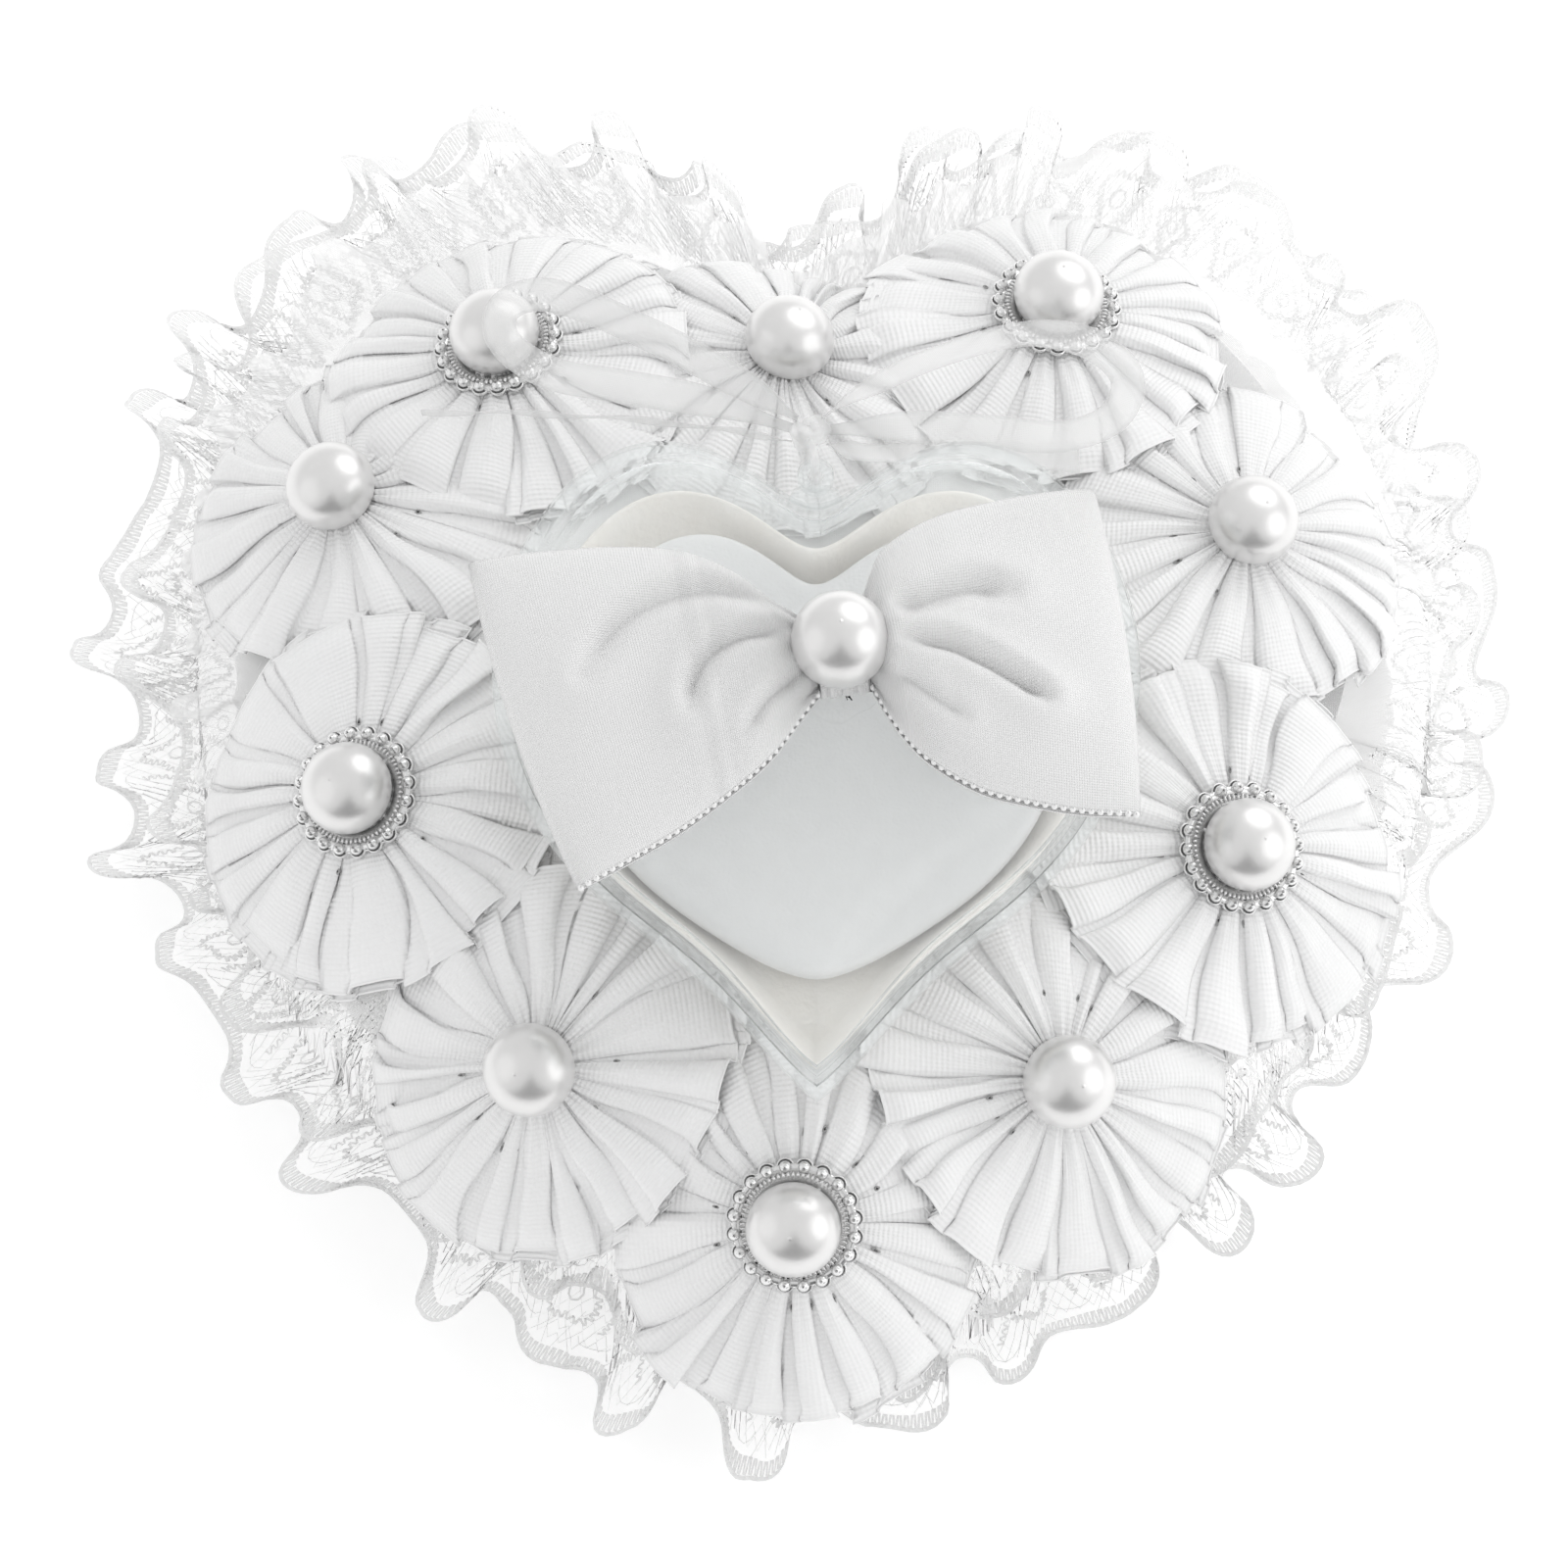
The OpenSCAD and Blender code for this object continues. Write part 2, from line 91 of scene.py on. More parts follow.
# How far apart the cushion's slope is measured under a ribbon and under a pearl
RIBBON_STEP, PEARL_STEP = 7.0, 6.0
SPOTS = (
    (-7, 65.5), (42.5, 75), (74, 33), (71, -24), (40, -63.5),
    (-3, -88), (-45.5, -61), (-77, -14), (-81.5, 40.5), (-55, 68),
)


def heart_r(heart, angle):
    """Distance from a heart's middle to its edge, at angles in degrees."""
    turn = (np.asarray(angle, float) + 180) % 360 - 180
    mean, lean, tip, tip_spread, tip_power, cleft, cleft_spread, cleft_power = heart
    from_cleft = np.abs(turn)
    return (
        mean
        + lean * np.cos(np.radians(turn))
        + tip * np.exp(-(((180 - from_cleft) / tip_spread) ** tip_power))
        - cleft * np.exp(-((from_cleft / cleft_spread) ** cleft_power))
    )


def heart_ring(heart, grow, inset, z, middle_y=0.0, count=240):
    """Points round a heart at height z: its radius times grow, less inset."""
    angle = np.arange(count) * 360 / count - 180
    r = heart_r(heart, angle) * grow - inset
    x, y = r * np.sin(np.radians(angle)), middle_y + r * np.cos(np.radians(angle))
    return np.stack([x, y, np.full(count, float(z))], 1)


def lace_r(angle):
    """Distance from the middle to the lace's edge, which is widest over the lobes."""
    return heart_r(LACE, angle) + LACE_SHOULDERS * np.cos(np.radians(2 * np.asarray(angle, float)))


def share_at(x, y):
    """How far a point is from the cushion's middle, as a share of the way to its seam."""
    return np.hypot(x, y) / heart_r(CUSHION, np.degrees(np.arctan2(x, y)))


def crown_at(share):
    return SEAM_Z + CROWN_H * (1 - np.minimum(1, share) ** 4) ** 0.6


def cushion_top(x, y):
    return crown_at(share_at(x, y))


def fall_at(x, y, step):
    """How steeply the cushion's top falls along x and along y, measured over a step each way."""
    fall_x = (cushion_top(x - step, y) - cushion_top(x + step, y)) / (2 * step)
    fall_y = (cushion_top(x, y - step) - cushion_top(x, y + step)) / (2 * step)
    return fall_x, fall_y


def slope_normal(x, y):
    """The direction square to the cushion's top at each point."""
    fall_x, fall_y = fall_at(x, y, RIBBON_STEP)
    return unit(np.stack([fall_x, fall_y, np.ones_like(fall_x)], -1))


def smooth(low, high, value):
    """0 below low, 1 above high, and a smooth rise between them."""
    t = np.clip((np.asarray(value, float) - low) / (high - low), 0, 1)
    return t * t * (3 - 2 * t)


# ---- Meshes ----

SHARP_EDGE = 30


def mesh_piece(name, points, faces, material, body="root", slot=None, weave=None):
    """A shown piece from points in millimetres. weave gives each point its place on the flat cloth."""
    mesh = bpy.data.meshes.new(name)
    mesh.from_pydata((np.asarray(points, float) * MM).tolist(), [], faces)
    mesh.validate()
    mesh.polygons.foreach_set("use_smooth", [True] * len(mesh.polygons))
    if weave is not None:
        layer = mesh.attributes.new("weave", "FLOAT_VECTOR", "POINT")
        layer.data.foreach_set("vector", np.asarray(weave, np.float32).ravel())
    mesh.materials.append(material)
    piece = bpy.data.objects.new(name, mesh)
    bpy.context.scene.collection.objects.link(piece)
    if body:
        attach(piece, body)
    return piece


def grid_faces(rows, columns, rows_close=False, columns_close=False, start=0):
    """Quads over a grid of points stored row by row."""
    row = np.arange(rows if rows_close else rows - 1)
    column = np.arange(columns if columns_close else columns - 1)
    i, j = np.meshgrid(row, column, indexing="ij")
    up, across = (i + 1) % rows, (j + 1) % columns
    quads = np.stack(
        [i * columns + j, up * columns + j, up * columns + across, i * columns + across], -1
    )
    return (quads.reshape(-1, 4) + start).tolist()


def circle(radius, z, angle, x=0.0, y=0.0):
    """Points round a middle at height z, at angles in radians."""
    return np.stack([x + radius * np.cos(angle), y + radius * np.sin(angle), np.full(len(angle), z)], 1)


def round_angles(count):
    return np.linspace(0, 2 * math.pi, count, endpoint=False)


def loft(rings):
    """Points and faces through rings of equal length, with a face over each end."""
    count = len(rings[0])
    faces = grid_faces(len(rings), count, columns_close=True)
    last = (len(rings) - 1) * count
    faces.append(list(range(count))[::-1])
    faces.append([last + i for i in range(count)])
    return np.concatenate(rings), faces


def hoop(rings):
    """Points and faces through rings of equal length, with the last joined to the first."""
    return np.concatenate(rings), grid_faces(len(rings), len(rings[0]), rows_close=True, columns_close=True)


def joined(parts):
    """Several lots of points and faces as one."""
    points, faces, count = [], [], 0
    for some, theirs in parts:
        points.append(some)
        faces.extend([[v + count for v in face] for face in theirs])
        count += len(some)
    return np.concatenate(points), faces


def thicken(piece, thickness):
    """Gives a sheet its real thickness, half on each side."""
    modifier = piece.modifiers.new("thickness", "SOLIDIFY")
    modifier.thickness = thickness * MM
    modifier.offset = 0


def curve_through(route, steps):
    """A smooth curve through a route's points, with each span cut into steps."""
    p = np.asarray(route, float)
    p = np.vstack([2 * p[0] - p[1], p, 2 * p[-1] - p[-2]])
    out = []
    for k in range(1, len(p) - 2):
        a, b, c, d = p[k - 1 : k + 3]
        for i in range(steps):
            t = i / steps
            out.append(
                b + (c - a) * t / 2 + (2 * a - 5 * b + 4 * c - d) * t * t / 2
                + (3 * b - a - 3 * c + d) * t**3 / 2
            )
    out.append(p[-2])
    return np.array(out)


def lengths_along(line):
    """The length along a line to each of its points."""
    return np.concatenate([[0], np.cumsum(np.linalg.norm(np.diff(line, axis=0), axis=1))])


def shade_smooth(piece):
    piece.data.polygons.foreach_set("use_smooth", [True] * len(piece.data.polygons))


def crease_edges(piece):
    """Shades a piece smooth, but for its sharp edges."""
    shade_smooth(piece)
    piece.data.set_sharp_from_angle(angle=math.radians(SHARP_EDGE))


def unit(v):
    return v / np.maximum(np.linalg.norm(v, axis=-1, keepdims=True), 1e-9)


# ---- Materials ----


def new_material(name, colour, roughness, **sockets):
    material = bpy.data.materials.new(name)
    material.use_nodes = True
    shader = material.node_tree.nodes["Principled BSDF"]
    shader.inputs["Base Color"].default_value = (*colour, 1)
    shader.inputs["Roughness"].default_value = roughness
    for socket, value in sockets.items():
        shader.inputs[socket.replace("_", " ")].default_value = value
    return material, material.node_tree, shader


def maths(tree, operation, a, b=0.0):
    node = tree.nodes.new("ShaderNodeMath")
    node.operation = operation
    for socket, value in zip(node.inputs, (a, b)):
        if isinstance(value, (int, float)):
            socket.default_value = value
        else:
            tree.links.new(value, socket)
    return node.outputs[0]


def noise(tree, scale, detail=3.0):
    """Noise over the object's own space, where scale is in cells per metre."""
    place = tree.nodes.new("ShaderNodeTexCoord")
    node = tree.nodes.new("ShaderNodeTexNoise")
    node.inputs["Scale"].default_value = scale
    node.inputs["Detail"].default_value = detail
    tree.links.new(place.outputs["Object"], node.inputs["Vector"])
    return node.outputs["Fac"]


def bump(tree, shader, height, depth, under=None):
    """Bumps the shader by a height from 0 to 1, where 1 stands depth millimetres high."""
    node = tree.nodes.new("ShaderNodeBump")
    node.inputs["Distance"].default_value = depth * MM
    node.inputs["Strength"].default_value = 1
    tree.links.new(height, node.inputs["Height"])
    if under is not None:
        tree.links.new(under, node.inputs["Normal"])
    tree.links.new(node.outputs[0], shader.inputs["Normal"])
    return node.outputs[0]


def tint(tree, shader, factor, dark, light):
    """Colours the shader from dark to light by a factor."""
    node = tree.nodes.new("ShaderNodeMix")
    node.data_type = "RGBA"
    node.inputs[6].default_value = (*dark, 1)
    node.inputs[7].default_value = (*light, 1)
    tree.links.new(factor, node.inputs[0])
    tree.links.new(node.outputs[2], shader.inputs["Base Color"])


def split(tree, vector):
    """A vector's three parts."""
    node = tree.nodes.new("ShaderNodeSeparateXYZ")
    tree.links.new(vector, node.inputs[0])
    return node.outputs


def crossed(tree, along, across):
    """Height of a diagonal weave, from its turns both ways."""
    rising = maths(tree, "SINE", maths(tree, "ADD", along, across))
    falling = maths(tree, "SINE", maths(tree, "SUBTRACT", along, across))
    return maths(tree, "MULTIPLY", rising, falling)


def on_cloth(tree, pitch):
    """A point's place along and across its flat cloth, in turns of the weave."""
    flat = tree.nodes.new("ShaderNodeAttribute")
    flat.attribute_name = "weave"
    along, across, _ = split(tree, flat.outputs["Vector"])
    turn = 2 * math.pi / pitch
    return maths(tree, "MULTIPLY", along, turn), maths(tree, "MULTIPLY", across, turn)


def ribbon_ribs(tree, pitch):
    """Height of fine ribs along the ribbon, crossed by a fainter weave."""
    along, across = on_cloth(tree, pitch)
    ribs = maths(tree, "SINE", across)
    fainter = maths(tree, "SINE", maths(tree, "MULTIPLY", along, 0.8))
    return maths(tree, "ADD", ribs, maths(tree, "MULTIPLY", fainter, 0.5))


def grey(value):
    return (value, value, value)


def satin(name, pitch, weave_depth, light, dark, crease, ribbed=False):
    """Satin ribbon: a woven face with a soft sheen, and slight creases in it."""
    material, tree, shader = new_material(name, light, 0.42, Sheen_Weight=0.35, Sheen_Roughness=0.4)
    weave = ribbon_ribs(tree, pitch) if ribbed else crossed(tree, *on_cloth(tree, pitch))
    tint(tree, shader, noise(tree, 55, 4), dark, light)
    creases = bump(tree, shader, noise(tree, 260, 3), crease)
    bump(tree, shader, weave, weave_depth, under=creases)
    return material


def lace_thread():
    """Cotton thread with a twist in it."""
    material, tree, shader = new_material("lace_thread", grey(0.97), 0.8, Alpha=0.8)
    twist = maths(tree, "SINE", maths(tree, "MULTIPLY", noise(tree, 900, 2), 40))
    bump(tree, shader, twist, 0.05)
    tint(tree, shader, noise(tree, 90, 2), grey(0.95), grey(0.98))
    return material


def sheer(name, opacity, pitch):
    """Organza: fine crossing threads that let what is behind them show."""
    material, tree, shader = new_material(name, grey(0.98), 0.5, Alpha=opacity, Sheen_Weight=0.3)
    bump(tree, shader, crossed(tree, *on_cloth(tree, pitch)), 0.04)
    return material


def grained(name, colour, roughness, grain, depth, patches=None, **sockets):
    """A surface with a fine grain: the scale and detail of its noise, and its depth in millimetres.

    patches are the scale and detail of a coarser noise, and the two colours that it runs between.
    """
    material, tree, shader = new_material(name, colour, roughness, **sockets)
    bump(tree, shader, noise(tree, *grain), depth)
    if patches:
        tint(tree, shader, noise(tree, *patches[:2]), *patches[2:])
    return material


def cover_satin():
    """The pillow's own satin, woven in its own space because its mesh comes from a simulation."""
    material, tree, shader = new_material("cover_satin", grey(0.88), 0.5, Sheen_Weight=0.3)
    place = tree.nodes.new("ShaderNodeTexCoord")
    x, y, z = split(tree, place.outputs["Object"])
    turn = 2 * math.pi / (0.8 * MM)
    along = maths(tree, "MULTIPLY", x, turn)
    across = maths(tree, "MULTIPLY", maths(tree, "ADD", y, z), turn)
    creases = bump(tree, shader, noise(tree, 70, 4), 0.5)
    bump(tree, shader, crossed(tree, along, across), 0.03, under=creases)
    tint(tree, shader, noise(tree, 30, 3), grey(0.9), grey(0.94))
    return material


ROSETTE_SATIN = satin("rosette_satin", 0.8, 0.05, grey(0.94), (0.9, 0.9, 0.902), 0.2, ribbed=True)
BOW_SATIN = satin("bow_satin", 0.85, 0.09, grey(0.94), grey(0.93), 0.03)
FRILL_NET = sheer("frill_net", 0.55, 0.7)
SHEER_RIBBON = sheer("sheer_ribbon", 0.36, 0.6)
LACE_THREAD = lace_thread()
COVER = cover_satin()
PEARL = grained(
    "pearl_lacquer", (0.80, 0.795, 0.79), 0.3, (1500, 2), 0.012,
    (240, 3, (0.76, 0.755, 0.75), (0.84, 0.835, 0.83)), Metallic=0.62, Coat_Weight=0.35, Coat_Roughness=0.2
)
BEAD = grained(
    "bead_lacquer", grey(0.82), 0.14, (900, 2), 0.03, (700, 2, grey(0.76), grey(0.86)),
    Metallic=0.8, Coat_Weight=0.5, Coat_Roughness=0.08
)
CLEAR = grained(
    "clear_plastic", (0.93, 0.94, 0.94), 0.04, (45, 2), 0.06, Transmission_Weight=0.93, IOR=1.01,
    Coat_Weight=0.55, Coat_Roughness=0.03, Coat_IOR=1.35
)
GLUE = grained(
    "clear_glue", grey(0.98), 0.15, (220, 3), 0.3, Transmission_Weight=1.0, IOR=1.02,
    Coat_Weight=0.8, Coat_Roughness=0.08
)
FOAM_RUBBER = grained(
    "foam_rubber", grey(0.76), 0.85, (1600, 4), 0.12, (420, 4, grey(0.7), grey(0.76)), Sheen_Weight=0.2
)
LINING = grained(
    "plush_lining", (0.95, 0.92, 0.88), 0.9, (800, 5), 0.3,
    (160, 4, (0.91, 0.865, 0.80), (0.96, 0.94, 0.905)), Sheen_Weight=0.5
)
# Dark grey dashes round each pearl: partly the gathering thread, partly painted shade of the needle holes it
# runs through
THREAD_AND_HOLE_SHADE = grained(
    "stitch_thread_and_hole_shade", grey(0.42), 0.7, (2500, 2), 0.05, (1200, 2, grey(0.3), grey(0.52))
)

# ---- Tie: a sheer ribbon, knotted behind the box ----

TIE_WIDTH = 6.0
KNOT = (-1, 44.5, 75.5)
KNOT_R = 3.6
TIE_ROUTES = {
    "tie_loop_left": (
        (-3, 46.5, 77.2), (-10, 51, 78), (-26, 61, 77), (-42, 70.5, 73.5), (-50, 72.5, 72),
        (-55, 69.5, 71.5), (-54, 63, 72), (-46, 57, 73), (-33, 53.5, 75), (-18, 50, 76), (-4, 45.5, 75.3),
    ),
    "tie_loop_right": (
        (1, 46.5, 77.2), (8, 51, 78), (20, 57.5, 78), (36, 63, 76), (48, 62.5, 73.5),
        (54.5, 57, 71.5), (52, 49.5, 71), (43, 45.5, 72), (30, 45.5, 74), (14, 45.5, 76), (2, 45.2, 75.3),
    ),
    "tie_tail_left": (
        (-4, 44, 73.2), (-14, 46, 73), (-28, 48.5, 71.5), (-42, 50.5, 69.5), (-56, 52, 67.5),
        (-69, 52.5, 66),
    ),
    "tie_tail_right": (
        (2, 43.4, 73.3), (8, 42, 73.5), (19, 41.6, 72.5), (30, 42.2, 71), (39, 42.8, 69.5), (46, 43, 68.5),
    ),
}
STRAND = (
    (-1, 42, 77), (-0.7, 39.5, 81.5), (-0.3, 36.8, 85.2), (0, 34.2, 85.6), (0, 33.4, 83.5),
    (0, 33.4, 79), (0, 34, 77.6), (-0.4, 37, 76), (-1, 41.5, 75),
)
# The left tail is rolled up into a thin string
ROLLED = {"tie_tail_left": 1.6}
# How a ribbon turns about its line: degrees from lying flat at its start, middle and end
TIE_TURNS = {
    "tie_loop_left": (60, 8, -35),
    "tie_loop_right": (55, -12, 30),
    "tie_tail_left": (70, 82, 88),
    "tie_tail_right": (50, 15, 5),
}


def ribbon_along(line, turns, half_width, narrow_ends):
    """A flat ribbon's points along a line: five across, turned about it by degrees, gathered at its ends."""
    count = len(line)
    way = unit(np.gradient(line, axis=0))
    level = unit(np.cross(way, np.array([0.0, 0.0, 1.0])))
    up = np.cross(level, way)
    step = np.linspace(0, 1, count)
    turn = np.radians(np.interp(step, (0, 0.5, 1), turns))[:, None]
    across = level * np.cos(turn) + up * np.sin(turn)
    lift = up * np.cos(turn) - level * np.sin(turn)
    from_end = np.minimum(step, 1 - step) if narrow_ends == "both" else step
    width = (0.3 + 0.7 * smooth(0, 0.14, from_end)) * half_width
    rows, weave = [], []
    for side in (-1, -0.5, 0, 0.5, 1):
        cup = 0.35 * side * side * np.sin(step * 23 + side)
        rows.append(line + across * (width * side)[:, None] + lift * cup[:, None])
        weave.append(np.stack([lengths_along(line), np.full(count, side * half_width), np.zeros(count)], 1))
    return np.stack(rows, 1).reshape(-1, 3), np.stack(weave, 1).reshape(-1, 3)


def make_knot():
    """The tie's knot: a ball of ribbon with its turns showing as ridges."""
    turns, sides = 40, 28
    polar = np.linspace(0.04, math.pi - 0.04, sides)[:, None]
    round_it = round_angles(turns)[None, :]
    ridge = 0.42 * np.sin(3 * round_it + 4 * polar) + 0.22 * np.sin(9 * polar - 2 * round_it)
    r = KNOT_R * (0.86 + 0.1 * np.sin(2 * round_it)) + ridge
    x = KNOT[0] + r * np.sin(polar) * np.cos(round_it) * 1.05
    y = KNOT[1] + r * np.sin(polar) * np.sin(round_it) * 0.85
    z = KNOT[2] + r * np.cos(polar) + 0 * round_it
    points = np.stack([x, y, z], -1)
    piece = mesh_piece("tie_knot_wrap", *loft(list(points)), SHEER_RIBBON, slot="sheer_ribbon",
                       weave=points.reshape(-1, 3))
    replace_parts(piece, "tie_knot")
    return piece


def make_tie(knot):
    for name, route in TIE_ROUTES.items():
        line = curve_through(route, 6)
        loop = "loop" in name
        width = ROLLED.get(name, TIE_WIDTH)
        points, weave = ribbon_along(line, TIE_TURNS[name], width / 2, "both" if loop else "start")
        piece = mesh_piece(name + "_ribbon", points, grid_faces(len(line), 5), SHEER_RIBBON,
                           slot="sheer_ribbon", weave=weave)
        thicken(piece, 0.15)
        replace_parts(piece, name)
        length = float(lengths_along(line)[-1]) * MM


def make_strand():
    """The stretch that goes through the two ring tabs and lets the lid swing."""
    line = curve_through(STRAND, 5)
    way = unit(np.gradient(line, axis=0))
    side = unit(np.cross(way, np.array([1.0, 0.0, 0.0])))
    other = np.cross(way, side)
    angle = -round_angles(12)
    rings = []
    for k, point in enumerate(line):
        twist = angle + 0.5 * k
        wide = 0.75 + 0.12 * np.cos(3 * twist)
        rings.append(point + wide[:, None] * (
            np.cos(angle)[:, None] * side[k] + np.sin(angle)[:, None] * other[k]))
    points, faces = loft(rings)
    piece = mesh_piece("tie_strand_ribbon", points, faces, SHEER_RIBBON, body=None, weave=points)
    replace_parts(piece, "tie_strand")
    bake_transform(piece)


make_tie(make_knot())
make_strand()

# ---- Cushion ----

FILL_INSET = 2.5
FILL_CAP = 4.5
VOXEL = 0.005
CLOTH_FRAMES = 20


def cushion_shape():
    """The pillow before it is stuffed, a little smaller than it ends."""
    shares = np.concatenate([np.linspace(0.08, 0.8, 8), [0.87, 0.92, 0.96, 0.985]])
    rings = [heart_ring(CUSHION, BASE_SHARE * s, 0, 0.4, count=120) for s in (0.1, 0.4, 0.75, 1)]
    for depth, share in ((0.25, 0.88), (0.5, 0.93), (0.8, 0.98)):
        rings.append(heart_ring(CUSHION, share, FILL_INSET, SEAM_Z * depth, count=120))
    rings.append(heart_ring(CUSHION, 1, FILL_INSET, SEAM_Z, count=120))
    for share in shares[::-1]:
        rings.append(heart_ring(CUSHION, share, FILL_INSET * share, crown_at(share) - FILL_INSET, count=120))
    return loft(rings)


def apply_modifiers(piece):
    """Makes what the modifiers show into the piece's own mesh."""
    graph = bpy.context.evaluated_depsgraph_get()
    mesh = bpy.data.meshes.new_from_object(piece.evaluated_get(graph))
    piece.modifiers.clear()
    old = piece.data
    piece.data = mesh
    bpy.data.meshes.remove(old)


def coordinates(mesh):
    co = np.zeros(len(mesh.vertices) * 3, np.float32)
    mesh.vertices.foreach_get("co", co)
    return co.reshape(-1, 3).astype(float)


def set_coordinates(mesh, co):
    mesh.vertices.foreach_set("co", co.astype(np.float32).ravel())
    mesh.update()


def stuff(piece):
    """Swells the piece by cloth simulation, and holds each point within FILL_CAP of where it was."""
    remesh = piece.modifiers.new("even", "REMESH")
    remesh.mode = "VOXEL"
    remesh.voxel_size = VOXEL
    apply_modifiers(piece)
    start = coordinates(piece.data)
    cloth = piece.modifiers.new("cloth", "CLOTH")
    cloth.settings.use_pressure = True
    cloth.settings.uniform_pressure_force = 4
    cloth.settings.effector_weights.gravity = 0
    cloth.settings.quality = 4
    cloth.point_cache.frame_end = CLOTH_FRAMES
    for step in range(1, CLOTH_FRAMES + 1):
        bpy.context.scene.frame_set(step)
    apply_modifiers(piece)
    bpy.context.scene.frame_set(1)
    move = coordinates(piece.data) - start
    far = np.linalg.norm(move, axis=1, keepdims=True)
    set_coordinates(piece.data, start + move * np.minimum(1, FILL_CAP * MM / np.maximum(far, 1e-9)))


def pucker(piece):
    """Gathers at the seam, and nothing above the crown's own height or below the table."""
    co = coordinates(piece.data) / MM
    angle = np.arctan2(co[:, 0], co[:, 1])
    near = np.exp(-(((co[:, 2] - SEAM_Z) / 9) ** 2)) * smooth(0.75, 1, share_at(co[:, 0], co[:, 1]))
    wave = np.sin(78 * angle + 2.2 * np.sin(9 * angle)) * 0.8 + 0.5 * np.sin(31 * angle + 1)
    grow = 1 + wave * near / 110
    co[:, 0] *= grow
    co[:, 1] *= grow
    top = cushion_top(co[:, 0], co[:, 1])
    over = co[:, 2] > SEAM_Z
    co[over, 2] = np.minimum(co[over, 2], top[over] + 0.2)
    co[:, 2] = np.maximum(co[:, 2], 0.2)
    set_coordinates(piece.data, co * MM)


def make_cushion():
    points, faces = cushion_shape()
    piece = mesh_piece("cushion", points, faces, COVER, slot="cover_satin")
    stuff(piece)
    modifier = piece.modifiers.new("smooth", "SUBSURF")
    modifier.levels = modifier.render_levels = 1
    apply_modifiers(piece)
    pucker(piece)
    shade_smooth(piece)
    if not piece.data.materials:
        piece.data.materials.append(COVER)
    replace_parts(piece, "top_cover", "bottom_cover", "cushion_filling")


make_cushion()

# ---- Ruffles ----

SEAM_GAP = 1.3
TABLE = 5000
# The least way from a ruffle's seam out to its edge, and its least heights over the cushion and the table
LEAST_REACH = 17.0
CLOTH_CLEAR = 0.8
TABLE_CLEAR = 0.7
# How folds vary round the heart: fewest and most waves, and size. In turn, a fold's phase, its size,
# its lean, its reach and its height
FOLD_VARIES = ((3, 18, 0.9), (6, 30, 0.38), (8, 26, 0.5), (10, 34, 1.3), (7, 28, 1.2))


def outline_table():
    """Angles at even steps along the lace's outline, so that folds keep one size."""
    angle = np.linspace(-180, 180, TABLE)
    r = lace_r(angle)
    x, y = r * np.sin(np.radians(angle)), r * np.cos(np.radians(angle))
    return angle, lengths_along(np.stack([x, y], 1))


OUTLINE_ANGLE, OUTLINE_LENGTH = outline_table()


def wander(rng, turn, low, high, size):
    """A smooth random value that closes on itself after one turn."""
    value = np.zeros_like(turn)
    for wave in range(low, high):
        value += rng.normal(0, 1) * np.sin(2 * math.pi * (wave * turn + rng.uniform()))
    return size * value / math.sqrt((high - low) / 2)


def ruffle(seed, folds, seam, edge, inset, radial, sideways, lift, seam_share=1.0, sag=0.0, shift=0.0):
    """A gathered strip, as a function of its turn and part.

    turn goes from 0 to 1 round the heart, and part from 0 at the seam to 1 at the edge. seam and edge
    are heights, and inset is how far the edge keeps inside the lace's outline. radial, sideways and
    lift are how far a fold swings each way at the edge. sag lowers the strip's middle, and shift moves
    its edge along x.
    """

    def at(turn, part):
        rng = np.random.default_rng(seed)
        angle = np.interp((turn % 1) * OUTLINE_LENGTH[-1], OUTLINE_LENGTH, OUTLINE_ANGLE)
        early, bigger, lean, reach, height = (wander(rng, turn, *varies) for varies in FOLD_VARIES)
        phase = 2 * math.pi * folds * turn + early
        size = np.clip(1 + bigger, 0.4, 1.6)
        a = np.radians(angle)
        inner = heart_r(CUSHION, angle) * seam_share + SEAM_GAP
        outer = lace_r(angle) - inset
        inner = np.minimum(inner, outer - LEAST_REACH)
        way = np.stack([np.sin(a), np.cos(a)], -1)
        tangent = np.stack([np.cos(a), -np.sin(a)], -1)
        grow = part**1.15
        swing = radial * size * np.sin(phase) * grow + reach * grow
        along = -sideways * size * np.sin(2 * phase + 0.6 * lean) * grow
        r = inner + (outer - inner) * part + swing
        plan = way * r[..., None] + tangent * along[..., None]
        x, y = plan[..., 0] + shift * part, plan[..., 1]
        z = seam + (edge - seam) * part - sag * 4 * part * (1 - part)
        z = z + (lift * size * np.cos(phase) + height) * grow
        low = np.where(share_at(x, y) < 1, cushion_top(x, y) + CLOTH_CLEAR, TABLE_CLEAR)
        z = low + np.log1p(np.exp((z - low) / 1.2)) * 1.2
        return np.stack([x, y, z], -1)

    return at


def edge_length(at, part):
    """Turn at each millimetre along a ruffle, measured at one part of its width, and its whole length."""
    turn = np.linspace(0, 1, 4 * TABLE)
    return turn, lengths_along(at(turn, np.full_like(turn, part)))


